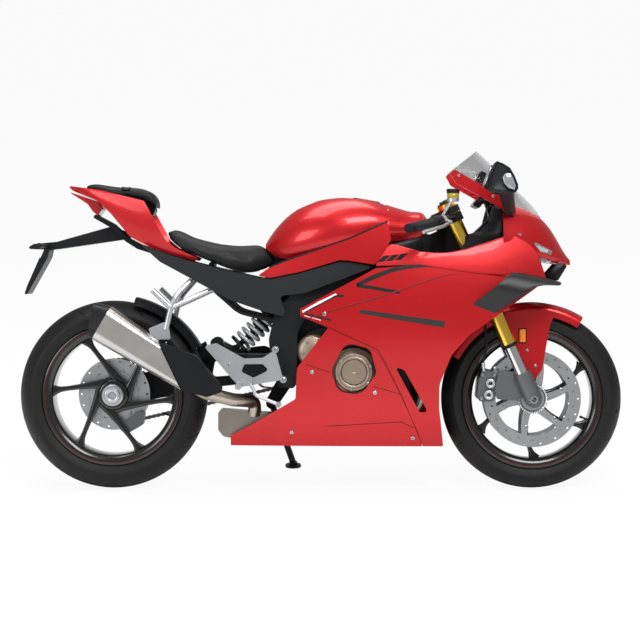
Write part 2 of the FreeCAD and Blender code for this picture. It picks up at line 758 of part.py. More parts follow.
def front_fender():
    """A wrapped guard over the front tyre, with a blade down beside each fork leg."""
    tyre_radius = size("front_tyre_radius")
    half = size("fork_half_spacing") - size("fork_inner_radius") - 9 - GAP
    crown = tyre_radius + 19
    outline = [
        (crown, -half * 0.55, 30), (crown - 14, -half, 24), (crown - 42, -half), (crown - 42, -half + 4),
        (crown - 16, -half + 4, 20), (crown - 4, -half * 0.52, 26), (crown - 4, half * 0.52, 26),
        (crown - 16, half - 4, 20), (crown - 42, half - 4), (crown - 42, half), (crown - 14, half, 24),
        (crown, half * 0.55, 30),
    ]
    band = turned(outline, FRONT, 94)
    band.rotate(FRONT, SIDEWAYS, 0)
    band.rotate(FRONT, SIDEWAYS, -152)
    blade_points = [(1290, 500, 10), (1322, 515, 10), (1350, 392, 10), (1388, 352, 4), (1421, 397, 6), (1447, 545, 20),
                    (1463, 578, 8), (1300, 590, 10)]
    blade = slab([(FRONT.x - DRAWN_WHEELBASE + x, z, r) for x, z, r in blade_points], half - 4, half)
    return band, blade


def front_end():
    """All that turns with the bars."""
    fork()
    handlebars()
    band, blade = front_fender()
    piece("front_fender", joined([band, blade, mirrored(blade)]))
    calipers()


def calipers():
    """A caliper behind each fork foot, astride its disc."""
    plane = size("front_disc_plane")
    slot = size("disc_thick") / 2 + 2.5
    shift = FRONT.x - DRAWN_WHEELBASE
    points = [(1213, 371, 12), (1234, 392, 12), (1270, 388, 12), (1262, 292, 14), (1206, 292, 14)]
    block = slab([(x + shift, z, r) for x, z, r in points], plane - 30, size("fork_half_spacing") - 18 - GAP)
    disc_room = turned([(0, plane - slot), (size("front_disc_radius") + 6, plane - slot),
                        (size("front_disc_radius") + 6, plane + slot), (0, plane + slot)], FRONT)
    block = block.cut(disc_room)
    barrel = size("rim_barrel_radius") - 6
    block = block.common(Part.makeCylinder(barrel, 300, FRONT - V(0, 150, 0), SIDEWAYS))
    piece("front_calipers", both_sides(one_solid(block)))


# Frame, engine and swingarm
def spar():
    """One side of the frame, curved in from the side and from above."""
    inner = size("spar_inner")
    outer = inner + size("spar_thick")
    side = [(1128, 878, 20), (1000, 822, 60), (870, 770, 60), (700, 702, 60), (600, 655, 40), (540, 592, 50),
            (518, 500, 60), (526, 420, 30), (548, 344, 14), (606, 336, 14), (612, 440, 60), (612, 520, 50),
            (648, 590, 50), (770, 655, 60), (900, 704, 60), (1010, 735, 40), (1150, 752, 10)]
    above = [(500, inner), (860, inner, 120), (1030, inner - 36, 60), (1075, 26, 20), (1180, 24, 0), (1180, 30),
             (1100, 34, 20), (1052, inner - 8, 60), (880, outer, 140), (500, outer)]
    profile = slab(bodyside(side), 0, 200)
    return profile.common(plan_slab(bodyside(above), 200, 1000))


def frame_and_subframe():
    """A twin-spar frame around the steering head, and a tubular subframe."""
    offset = size("fork_offset")
    low = size("lower_clamp_height") + size("lower_clamp_thick") / 2 + 1
    high = size("upper_clamp_height") - size("upper_clamp_thick") / 2 - 1
    head = fork_rod(0, low, high, size("head_tube_radius"), 0, -offset)
    one_side = spar()
    pivot = V(size("pivot_ahead"), 0, size("pivot_height"))
    inner = size("spar_inner")
    cross_high = rod(V(SHOCK_BAR[0], -inner - 1, SHOCK_BAR[1]), V(SHOCK_BAR[0], inner + 1, SHOCK_BAR[1]), 16)
    body = joined([head, one_side, mirrored(one_side), cross_high, stand_bracket(), *frame_mounts()])
    body = body.cut(fork_rod(0, low, high, size("stem_radius") + size("bearing_clearance") + 0.2, 0, -offset))
    outer = inner + size("spar_thick")
    bolt = rod(pivot - V(0, outer + 6, 0), pivot + V(0, outer + 6, 0), size("pivot_bolt_radius"))
    body = body.fuse(bolt).removeSplitter()
    piece("frame", body)
    rail = inner - 12
    top = bent_tube([V(640, rail, 655), V(470, rail, 668), V(270, rail - 8, 742), V(150, rail - 16, 800),
                     V(50, rail - 36, 905), V(-16, 38, 944)], 11, 90)
    low_rail = bent_tube([V(535, rail, 560), V(420, rail - 2, 590), V(235, rail - 10, 752)], 9, 80)
    front, rear = V(391, 0, 729), V(292, 0, 769)
    slope = (rear - front).normalize()
    spot = front + (rear - front) * 0.6 - V(-slope.z, 0, slope.x) * -(9 + GAP)
    seat_bridge = rod(spot - V(0, rail - 4, 0), spot + V(0, rail - 4, 0), 9)
    posts = [rod(V(spot.x, side * (rail - 8), spot.z), V(spot.x, side * (rail - 6), 712), 7) for side in (-1, 1)]
    base = slab([(-80, 1000), (112, 1000), (140, 925, 10), (130, 902, 10), (46, 925, 10), (-40, 958, 10),
                 (-74, 972, 4)], -44, 44)
    cushion = hull(PASSENGER_SEAT, SEAT_FLANK)
    cushion.translate(V(0, 0, -GAP))
    base = base.cut(cushion).cut(slab([(-90, 985), (160, 985), (160, 1010), (-90, 1010)], -50, 50))
    sub = joined([top, low_rail, mirrored(top), mirrored(low_rail), seat_bridge, base, *posts])
    room = room_inside(COVER, COVER_FLANK, size("fairing_wall"))
    tail_room = room_inside(TAIL, TAIL_FLANK, size("fairing_wall") * 1.5)
    sub = sub.fuse(stay(240, 752, rail - 14, 7, room) + stay(60, 925, 20, 7, tail_room)).removeSplitter()
    piece("subframe", one_solid(sub.cut(body)))


def frame_mounts():
    """Lugs for the engine, posts for the tank and stays for the panels, on both spars."""
    near = 92 + GAP
    upper = slab(bodyside([(855, 725, 4), (905, 735, 4), (895, 650, 10), (865, 650, 10)]), near, size("spar_inner") + 10)
    rear = slab([(590, 486, 4), (638, 480, 8), (638, 444, 8), (598, 440, 4)], near, size("spar_inner") + 10)
    middle = size("spar_inner") + size("spar_thick") / 2
    tank = tank_form()
    tank.translate(V(0, 0, -GAP))
    post = rod(V(700, middle, 680), V(700, middle, 840), 8).cut(tank)
    forms = [upper, rear, post]
    forms += [mirrored(form) for form in forms]
    wall = size("fairing_wall")
    forms += stay(700, 765, middle, 7, room_inside(SIDE, SIDE_FLANK, wall))
    forms += stay(640, 662, middle - 4, 7, room_inside(COVER, COVER_FLANK, wall))
    forms += stay(along(960), 735, middle - 30, 7, room_inside(FAIRING, FAIRING_FLANK, wall))
    return forms


def tank_form():
    """The tank: a hull cut to the outline it shows from the side."""
    return one_solid(hull(TANK, TANK_FLANK).common(slab(bodyside(TANK_OUTLINE), -300, 300)))


def stand_bracket():
    """The ear on the frame's left foot that the side stand swings on."""
    inner = size("spar_inner")
    x, z = size("stand_pivot_ahead"), size("stand_pivot_height")
    pivot = V(x, size("stand_pivot_left"), z)
    ear = slab([(x - 17, z - 16, 14), (x + 17, z - 16, 14), (600, 350, 8), (548, 370, 8), (x - 17, z + 10, 14)],
               inner, inner + 12)
    boss = rod(pivot - STAND_AXIS * 20, pivot, 16)
    pin = rod(pivot - STAND_AXIS * 4, pivot + STAND_AXIS * 20, 6)
    return joined([ear, boss, pin])


def engine():
    """The engine as one block, with its side covers apart."""
    case = slab(bodyside([(630, 235, 20), (940, 235, 30), (985, 300, 30), (985, 420, 20), (1020, 560, 20),
                          (1000, 640, 20), (860, 690, 20), (790, 560, 20), (640, 520, 30), (626, 430, 20)]), -92, 92)
    lower = slab(bodyside([(641, 320, 20), (930, 320, 30), (970, 360, 30), (970, 430, 20), (900, 500, 30),
                           (641, 500, 30)]), -128, 112)
    room = room_inside(FAIRING, FAIRING_FLANK, size("fairing_wall"))
    stays = stay(700, 262, 80, 8, room) + stay(930, 262, 80, 8, room)
    body = joined([case, lower, *stays])
    piece("engine", body)
    cover = V(along(798), 0, 393)
    clutch = turned([(0, -128 - GAP), (78, -128 - GAP), (78, -146, 6), (64, -152, 4), (60, -160, 6), (0, -162)], cover)
    side = V(along(880), 0, 350)
    generator = turned([(0, 112 + GAP), (70, 112 + GAP), (70, 134, 8), (44, 146, 6), (0, 146)], side)
    piece("engine_covers", Part.makeCompound([clutch, generator]))
    front = V(size("front_sprocket_ahead"), 0, size("front_sprocket_height"))
    teeth = int(size("front_sprocket_teeth"))
    pitch_radius = size("chain_pitch") / (2 * math.sin(math.pi / teeth))
    wheel = sprocket(pitch_radius, teeth, 12, 0, 0, front)
    shaft = rod(V(front.x, 112 + GAP, front.z), V(front.x, size("chain_plane") + 8, front.z), 12)
    piece("front_sprocket", wheel.fuse(shaft).removeSplitter())
    chain(front, pitch_radius)


def belt(rear, front, rear_radius, front_radius, low, high):
    """The solid inside a belt around two wheels."""
    run = front - rear
    length = run.Length
    lean = math.acos((rear_radius - front_radius) / length)
    base = math.atan2(run.z, run.x)

    def rim(centre, radius, angle):
        return V(centre.x + radius * math.cos(base + angle), low, centre.z + radius * math.sin(base + angle))

    edges = [
        Part.LineSegment(rim(front, front_radius, -lean), rim(rear, rear_radius, -lean)).toShape(),
        Part.Arc(rim(rear, rear_radius, -lean), rim(rear, rear_radius, math.pi), rim(rear, rear_radius, lean)).toShape(),
        Part.LineSegment(rim(rear, rear_radius, lean), rim(front, front_radius, lean)).toShape(),
        Part.Arc(rim(front, front_radius, lean), rim(front, front_radius, 0), rim(front, front_radius, -lean)).toShape(),
    ]
    return Part.Face(Part.Wire(edges)).extrude(V(0, high - low, 0))


def chain(front, front_radius):
    """The chain as one loop: two rows of plates and the rollers' outer line, open where the teeth run."""
    teeth = int(size("rear_sprocket_teeth"))
    rear_radius = size("chain_pitch") / (2 * math.sin(math.pi / teeth))
    plane = size("chain_plane")
    groove = size("sprocket_thick") / 2 + 1
    half = groove + 3
    reach, tips = 7.5, 4.2
    loop = belt(REAR, front, rear_radius + reach, front_radius + reach, plane - half, plane + half)
    loop = loop.cut(belt(REAR, front, rear_radius - reach, front_radius - reach, plane - half, plane + half))
    loop = loop.cut(belt(REAR, front, rear_radius + tips, front_radius + tips, plane - groove, plane + groove))
    piece("chain", loop)


def swingarm():
    """A single arm on the left, from a full-width pivot tube to a ring around the rear spindle."""
    inner = size("swingarm_inner")
    thick = size("swingarm_thick")
    outer = inner + thick
    pivot = V(size("pivot_ahead"), 0, size("pivot_height"))
    bolt = size("pivot_bolt_radius") + GAP
    carrier = size("hub_carrier_radius")
    tube_half = size("spar_inner") - 1
    tube = rod(pivot - V(0, tube_half, 0), pivot + V(0, tube_half, 0), 30)
    arm = slab([(pivot.x + 4, pivot.z + 32, 20), (500, 470, 30), (330, 450, 60), (70, 372, 40), (20, REAR.z + 55, 30),
                (-48, REAR.z + 20, 40), (-48, REAR.z - 30, 40), (10, REAR.z - 58, 40), (90, REAR.z - 30, 40),
                (330, 330, 60), (510, 350, 30), (pivot.x + 4, pivot.z - 32, 20)], inner, outer)
    arm = arm.cut(slab([(500, 520), (640, 520), (640, 300), (500, 300)], tube_half, outer + 10))
    brace = plan_slab([(430, -inner + 20, 10), (520, -inner + 20, 10), (520, inner + 10, 0), (380, inner + 10, 0)],
                      372, 462 - 15 - GAP)
    windows = slab([(150, 368, 12), (300, 410, 12), (290, 356, 12)], inner - 1, outer + 1)
    windows = windows.fuse(slab([(330, 418, 12), (440, 428, 12), (440, 372, 12), (320, 364, 12)], inner - 1, outer + 1))
    ring = rod(REAR + V(0, size("hub_carrier_inner"), 0), REAR + V(0, outer, 0), carrier)
    body = arm.cut(windows).fuse([ring, tube, brace])
    body = body.cut(rod(pivot - V(0, 200, 0), pivot + V(0, 200, 0), bolt))
    body = body.cut(rod(REAR, REAR + V(0, 200, 0), size("rear_spindle_radius") + size("bearing_clearance")))
    piece("swingarm", body.removeSplitter())


def rear_brake():
    """A caliper on the hub carrier, astride the rear disc."""
    plane = -size("rear_hub_inner") + size("disc_thick") / 2 + 6
    slot = size("disc_thick") / 2 + 2
    carrier = size("hub_carrier_radius") + GAP
    block = slab([(12, 205, 10), (40, 178, 12), (98, 212, 12), (104, 262, 12), (70, 250, 12)], plane - 24, plane + 30)
    arm = slab([(-16, 250, 8), (36, 200, 8), (90, 240, 8), (40, 300, 8)], plane + 18, plane + 36)
    arm = arm.fuse(rod(REAR + V(0, size("hub_carrier_inner") + 4, 0), REAR + V(0, plane + 36, 0), carrier + 12))
    room = turned([(0, plane - slot), (size("rear_disc_radius") + 5, plane - slot),
                   (size("rear_disc_radius") + 5, plane + slot), (0, plane + slot)], REAR)
    body = block.fuse(arm).cut(rod(REAR, REAR + V(0, 200, 0), carrier)).cut(room)
    piece("rear_caliper", one_solid(body.removeSplitter()))


def shock():
    """A damper with its spring, from the swingarm to the frame, and a spare reservoir behind it."""
    low, high = V(402, -30, 462), V(SHOCK_BAR[0] - 34, -30, SHOCK_BAR[1] - 6)
    eye_radius = (V(SHOCK_BAR[0], 0, SHOCK_BAR[1]) - V(high.x, 0, high.z)).Length - 16 - GAP
    run = high - low
    length = run.Length
    run.normalize()
    body = rod(low, low + run * length, 9)
    lower_cup = rod(low + run * 20, low + run * 30, size("spring_radius") + 7)
    upper_cup = rod(low + run * (length - 40), low + run * (length - 30), size("spring_radius") + 7)
    damper = rod(low + run * (length - 90), low + run * (length - 16), 22)
    top_eye = rod(high - V(0, 14, 0), high + V(0, 14, 0), eye_radius)
    eye = rod(low - V(0, 14, 0), low + V(0, 14, 0), 15)
    can = rod(V(345, -60, 482), V(345, -4, 482), 22)
    arm = rod(V(350, -30, 478), low + run * 4, 9)
    piece("shock", joined([body, lower_cup, upper_cup, damper, eye, top_eye, can, arm]))
    turns = (length - 70 - 2 * size("spring_wire_radius") - 1) / 5.0
    radius = size("spring_radius")
    helix = Part.makeHelix(turns, turns * 5.0, radius)
    wire = Part.Wire(Part.makeCircle(size("spring_wire_radius"), V(radius, 0, 0), V(0, 1, 0)))
    coil = Part.Wire(helix.Edges).makePipeShell([wire], True, True)
    coil.Placement = FreeCAD.Placement(low + run * (30 + size("spring_wire_radius") + GAP),
                                       FreeCAD.Rotation(V(0, 0, 1), run))
    piece("shock_spring", coil)


def box_section(top, bottom, low, high, radius):
    """A rounded box's cross-section: across the machine from low to high, and from top to bottom seen from the side."""
    start = V(top[0], 0, top[1])
    run = V(bottom[0], 0, bottom[1]) - start
    depth = run.Length
    run.normalize()
    corners = [(0, low, radius), (0, high, radius), (depth, high, radius), (depth, low, radius)]
    return corner_wire(corners, lambda a, b: start + run * a + SIDEWAYS * b)


def exhaust():
    """Four pipes into a collector under the engine, a box silencer high on the right and its guard."""
    heads = []
    for across in (-66, -22, 22, 66):
        heads.append(bent_tube([V(along(1006), across, 590), V(along(1028), across, 540), V(along(1016), across, 300),
                                V(along(960), across * 0.9, 205), V(along(700), across * 0.7, 200),
                                V(560, across * 0.55, 212)], 17, 60))
    box = slab([(368, 174, 20), (395, 170, 20), (530, 170, 14), (580, 178, 10), (580, 240, 10), (521, 250, 20),
                (349, 264, 14), (349, 196, 20)], -60, 52)
    headers = joined(heads).cut(box)
    headers = headers.cut(upright("engine"))
    piece("exhaust_headers", Part.makeCompound([s for s in headers.Solids if s.Volume > 1000]))
    link_run = [V(470, -48, 245), V(470, -58, 292), V(400, -118, 300), V(300, -170, 330), V(215, -172, 404)]
    link = bent_tube(link_run, 22, 60)
    can = Part.makeLoft([
        box_section((161, 497), (238, 336), -232, -112, 34),
        box_section((9, 607), (-53, 501), -228, -116, 34),
    ], True, True)
    piece("muffler", can)
    cap = Part.makeLoft([
        box_section((9 - GAP, 607.2), (-53 - GAP, 501.2), -228, -116, 34),
        box_section((-46, 620), (-68, 514), -222, -122, 30),
    ], True, True)
    piece("muffler_cap", cap)
    piece("exhaust_collector", one_solid(joined([box, link]).cut(can)))
    guard = slab([(166, 494, 8), (287, 449, 20), (380, 336, 14), (322, 316, 10), (242, 338, 4)], -240, -186)
    guard = guard.cut(bent_tube(link_run, 22 + GAP, 60)).cut(slab([(150, 520), (180, 520), (300, 430), (380, 380),
                                                                 (380, 200), (150, 200)], -187, -180))
    piece("exhaust_guard", guard)


# Bodywork; each hull is a row of cross-sections (place along, half width, low, high)
FAIRING = [(380, 132, 146, 860), (560, 164, 146, 860), (750, 190, 146, 860), (930, 205, 146, 860),
           (1100, 212, 146, 860), (1260, 204, 146, 860), (1440, 158, 146, 860)]
FAIRING_FLANK = [(0.5, 0.0), (0.7, 0.1), (0.88, 0.33), (1.0, 0.62), (0.96, 0.82), (0.8, 1.0)]
NOSE = [(1285, 172, 762, 962), (1350, 152, 756, 930), (1420, 118, 750, 893), (1475, 72, 745, 822),
        (1518, 26, 742, 760)]
NOSE_FLANK = [(0.72, 0.0), (1.0, 0.2), (0.97, 0.5), (0.8, 0.8), (0.5, 1.0)]
TANK = [(506, 62, 780, 812), (545, 96, 768, 868), (605, 136, 764, 922), (680, 164, 776, 955), (755, 176, 792, 965),
        (836, 168, 812, 960), (905, 146, 836, 940), (978, 108, 862, 906)]
TANK_FLANK = [(0.86, 0.0), (1.0, 0.3), (0.96, 0.58), (0.76, 0.86), (0.46, 1.0)]
SIDE = [(478, 118, 670, 900), (620, 152, 670, 900), (760, 172, 670, 900), (925, 172, 670, 900)]
SIDE_FLANK = [(0.98, 0.0), (1.0, 0.5), (0.95, 1.0)]
RIDER_SEAT = [(182, 92, 826, 864), (230, 128, 788, 852), (300, 140, 756, 824), (380, 134, 724, 808),
              (450, 108, 706, 806), (505, 78, 720, 803), (536, 60, 742, 770)]
SEAT_FLANK = [(0.9, 0.0), (1.0, 0.4), (0.94, 0.75), (0.7, 1.0)]
PASSENGER_SEAT = [(-92, 60, 992, 1004), (-30, 84, 978, 1006), (50, 96, 966, 997), (112, 96, 950, 989),
                  (148, 84, 918, 950)]
TAIL = [(-150, 30, 985, 1010), (-60, 84, 900, 1010), (60, 112, 760, 1010), (180, 136, 700, 1010),
        (300, 146, 700, 1010)]
TAIL_FLANK = [(0.62, 0.0), (0.9, 0.4), (1.0, 0.75), (0.88, 1.0)]
COVER = [(80, 116, 500, 840), (260, 138, 500, 840), (500, 150, 500, 840), (700, 160, 500, 840), (880, 168, 500, 840)]
COVER_FLANK = [(0.9, 0.0), (0.97, 0.5), (1.0, 1.0)]

UPPER_OUTLINE = [(869, 740, 4), (917, 814, 10), (1011, 785, 60), (1109, 783, 60), (1206, 811, 60), (1300, 837, 4),
                 (1424, 701, 4), (1310, 720, 6), (1287, 704, 6), (1141, 723, 60), (1011, 743, 60)]
MAIN_OUTLINE = [(622, 577, 8), (622, 600, 8), (869, 733, 10), (1011, 743, 60), (1141, 723, 60), (1287, 704, 6),
                (1310, 720, 6), (1424, 701, 4), (1391, 668, 10), (1173, 516, 60), (1115, 451, 40), (1076, 354, 80),
                (1076, 273, 60), (1092, 146, 4), (1024, 146, 4), (1005, 201, 30), (950, 318, 80), (895, 428, 40),
                (865, 464, 20), (723, 535, 30)]
LOWER_OUTLINE = [(391, 146, 4), (391, 180, 8), (459, 216, 40), (589, 294, 30), (606, 304, 12), (609, 369, 20),
                 (612, 408, 20), (713, 538, 10), (723, 564, 4), (752, 522, 20), (866, 463, 20), (895, 427, 40),
                 (950, 317, 80), (1005, 200, 30), (1024, 145, 4)]
CLUTCH_WINDOW = [(723, 400, 40), (770, 492, 40), (850, 470, 30), (872, 390, 30), (820, 318, 50), (744, 330, 40)]
SIDE_OUTLINE = [(481, 707, 4), (517, 733, 20), (563, 753, 20), (785, 831, 60), (909, 887, 10), (919, 825, 10),
                (870, 743, 20), (785, 756, 30), (752, 759, 30), (621, 720, 60), (523, 700, 20)]
TANK_OUTLINE = [(499, 803, 4), (536, 860, 40), (569, 903, 60), (619, 930, 80), (686, 957, 90), (753, 965, 90),
                (836, 960, 80), (886, 947, 60), (980, 908, 10), (975, 880, 10), (914, 892, 10), (785, 834, 60),
                (563, 756, 20), (546, 766, 10)]
RIDER_OUTLINE = [(180, 861, 8), (220, 855, 30), (259, 835, 40), (292, 825, 60), (358, 810, 90), (424, 805, 90),
                 (489, 812, 8), (506, 799, 6), (545, 759, 8), (522, 742, 20), (479, 716, 30), (440, 713, 30),
                 (391, 729, 40), (292, 769, 40), (226, 798, 20), (187, 832, 20)]
TAIL_OUTLINE = [(-150, 1006, 3), (-38, 990, 30), (51, 968, 30), (108, 954, 10), (126, 922, 20), (153, 871, 30),
                (179, 825, 20), (209, 800, 20), (288, 764, 4), (275, 756, 4), (192, 779, 40), (126, 802, 30),
                (61, 835, 30), (-5, 914, 30), (-48, 954, 20), (-137, 990, 6)]
COVER_OUTLINE = [(86, 820, 6), (129, 799, 20), (192, 776, 20), (276, 752, 6), (400, 722, 40), (480, 704, 20),
                 (523, 696, 10), (621, 716, 60), (752, 754, 30), (785, 752, 20), (866, 738, 6), (769, 700, 30),
                 (637, 651, 30), (555, 641, 10), (572, 595, 10), (565, 575, 4), (496, 592, 30), (391, 628, 40),
                 (260, 700, 60), (161, 753, 30)]
WING_BLADE = [(1330, 722, 4), (1411, 701, 20), (1475, 688, 3), (1469, 675, 3), (1411, 680, 20), (1384, 674, 4)]
LAMP_UPPER = [(1377, 825, 4), (1453, 789, 4), (1449, 776, 3), (1410, 786, 6)]
LAMP_LOWER = [(1404, 770, 4), (1454, 756, 4), (1427, 724, 3)]
VENT_OUTLINE = [(930, 414, 6), (962, 400, 6), (1040, 262, 8), (1012, 262, 8)]


def shrunk(corners, margin):
    """The face of an outline, with its edge moved in by a margin."""
    return Part.Face(side_outline(bodyside(corners), -400)).makeOffset2D(-margin)


def panel(skin, corners, margin, deep=399.5):
    """What of a skin lies within an outline on the right, with a narrow gap to its neighbours."""
    prism = shrunk(corners, margin).extrude(V(0, deep, 0))
    return one_solid(skin.common(prism))


def closed_shell(stations, flank, wall):
    """A hull's wall, open only at its rear."""
    inner = []
    last = len(stations) - 1
    for i, (x, half, low, high) in enumerate(stations):
        if i == 0:
            x -= 20
        if i == last:
            x -= wall * 2
        inner.append((x, max(half - wall, 4), low + wall, max(high - wall, low + wall + 3)))
    return hull(stations, flank).cut(hull(inner, flank))


def room_inside(stations, flank, wall):
    """The space inside a hull's wall, less the seat clearance."""
    return hull([(x, half - wall - GAP, low + wall, high + OVER) for x, half, low, high in stations], flank)


def stay(x, z, start, radius, room):
    """A round stay across the machine on both sides, from y = start out to a skin's inner face."""
    one = rod(V(x, start, z), V(x, 300, z), radius).common(room)
    return [one, mirrored(one)]


def fairings():
    """Upper, main and lower panels on each side, and the nose with its lamps."""
    wall = size("fairing_wall")
    margin = size("panel_gap") / 2
    skin = shell(FAIRING, FAIRING_FLANK, wall)
    upper = panel(skin, UPPER_OUTLINE, margin)
    main = panel(skin, MAIN_OUTLINE, margin)
    lower = panel(skin, LOWER_OUTLINE, margin)
    window = slab(bodyside(CLUTCH_WINDOW), -400, -60)
    vent = slab(bodyside(VENT_OUTLINE), -400, -60)
    neighbour = Part.Face(side_outline(bodyside(MAIN_OUTLINE), -400)).makeOffset2D(margin)
    lower = one_solid(lower.cut(window).cut(neighbour.extrude(V(0, 400, 0))))
    main = one_solid(main.cut(vent))
    piece("fairing_sides", Part.makeCompound([upper, mirrored(upper), main, mirrored(main)]))
    notch = slab([(470, 236, 10), (640, 236, 10), (640, 420), (470, 420)], 60, 300)
    left = one_solid(mirrored(lower).cut(notch))
    piece("fairing_lower", Part.makeCompound([lower, left]))
    return upper, main, lower


def nose_and_lamps():
    """The nose cowl around two lamps on each side."""
    wall = size("fairing_wall")
    cowl = closed_shell(NOSE, NOSE_FLANK, wall)
    deep = closed_shell(NOSE, NOSE_FLANK, wall * 2)
    lamps = []
    for corners in (LAMP_UPPER, LAMP_LOWER):
        room = slab(bodyside(corners), -400, -12)
        lens = shrunk(corners, GAP).extrude(V(0, 400 - 12 - GAP, 0))
        cowl = cowl.cut(room).cut(mirrored(room))
        lamp = one_solid(deep.common(lens))
        lamps.extend([lamp, mirrored(lamp)])
    arm = slab(bodyside([(1113, 1044, 3), (1130, 1012, 10), (1212, 966, 40), (1268, 936, 20), (1300, 905, 4),
                         (1330, 905, 4), (1293, 957, 20), (1211, 1007, 40), (1127, 1056, 4)]), -142, -128)
    arm = arm.cut(hull(NOSE, NOSE_FLANK))
    cowl = joined([one_solid(cowl), arm, mirrored(arm)])
    return one_solid(cowl), lamps


def screen_section(x, half, edge, ridge, inset):
    """An arch across the machine at x, closed by a straight foot on each side."""
    wide = half - inset
    points = [V(x, -wide, edge), V(x, -wide * 0.75, edge + (ridge - inset - edge) * 0.62), V(x, 0, ridge - inset),
              V(x, wide * 0.75, edge + (ridge - inset - edge) * 0.62), V(x, wide, edge)]
    return Part.Wire([spline(points), Part.LineSegment(points[-1], points[0]).toShape()])


def windscreen():
    """A clear curved screen, cut off along its raked rear edge."""
    stations = [(1110, 142, 1030, 1150), (1210, 138, 1008, 1120), (1293, 128, 962, 1037), (1354, 108, 930, 977),
                (1420, 60, 894, 899)]
    outer = Part.makeLoft([screen_section(along(x), half, edge, ridge, 0) for x, half, edge, ridge in stations],
                          True, False)
    inner = Part.makeLoft([screen_section(along(x), half, edge - 1, ridge, 3.5) for x, half, edge, ridge in stations],
                          True, False)
    skin = outer.cut(inner)
    side = [(1113, 1046, 6), (1130, 1062, 4), (1210, 1124, 14), (1360, 990, 0), (1425, 900, 0), (1410, 896, 0),
            (1339, 927, 20), (1293, 962, 20), (1211, 1012, 30)]
    return one_solid(skin.common(slab(bodyside(side), -300, 300)))


def front_bodywork():
    """Fairing panels, nose, lamps, screen, winglets and mirrors."""
    upper, main, lower = fairings()
    cowl, lamps = nose_and_lamps()
    cowl = one_solid(cowl.cut(both_sides(upper)).cut(both_sides(main)))
    piece("nose_cowl", cowl)
    piece("headlamps", Part.makeCompound(lamps))
    screen = windscreen()
    piece("windscreen", one_solid(screen.cut(cowl)))
    blade = slab(bodyside(WING_BLADE), -262, -120)
    tip = slab(bodyside([(1380, 712, 6), (1475, 690, 3), (1469, 672, 3), (1385, 655, 10)]), -266, -262)
    wing = blade.fuse(tip).removeSplitter()
    wing = wing.cut(hull(FAIRING, FAIRING_FLANK)).cut(hull(NOSE, NOSE_FLANK))
    piece("winglets", both_sides(one_solid(wing)))
    mirrors()


def mirrors():
    """A shell on a stalk each side of the screen."""
    housing = slab(bodyside([(1247, 1068, 16), (1288, 1049, 16), (1313, 996, 10), (1297, 972, 10), (1241, 973, 16),
                                (1223, 989, 12), (1225, 1030, 20)]), -392, -262)
    housing = housing.makeFillet(9, [e for e in housing.Edges if abs(e.tangentAt(e.FirstParameter).y) < 0.1])
    stalk = rod(V(along(1306), -100, 885), V(along(1290), -290, 985), 9).cut(hull(NOSE, NOSE_FLANK))
    body = one_solid(housing.fuse(stalk).removeSplitter().cut(upright("nose_cowl")))
    piece("mirrors", both_sides(body))


def rear_bodywork():
    """Tank, seats, side covers and tail."""
    margin = size("panel_gap") / 2
    wall = size("fairing_wall")
    tank = tank_form()
    seat = one_solid(hull(RIDER_SEAT, SEAT_FLANK).common(slab(bodyside(RIDER_OUTLINE), -300, 300)))
    seat = one_solid(seat.cut(tank))
    side = shell(SIDE, SIDE_FLANK, wall)
    side_panel = panel(side, SIDE_OUTLINE, margin)
    cover = shell(COVER, COVER_FLANK, wall)
    cover_panel = panel(cover, COVER_OUTLINE, margin)
    tail_solid = hull(TAIL, TAIL_FLANK).common(slab(bodyside(TAIL_OUTLINE), -300, 300))
    tail_inner = shell(TAIL, TAIL_FLANK, wall * 1.5)
    tail_side = one_solid(tail_solid.common(tail_inner).common(slab(bodyside(TAIL_OUTLINE), -300, -0.5)))
    passenger = hull(PASSENGER_SEAT, SEAT_FLANK)
    parts = {
        "fuel_tank": tank,
        "rider_seat": seat,
        "tank_side_panels": both_sides(side_panel),
        "subframe_covers": both_sides(cover_panel),
        "tail_fairing": both_sides(tail_side),
        "passenger_seat": passenger,
    }
    return parts


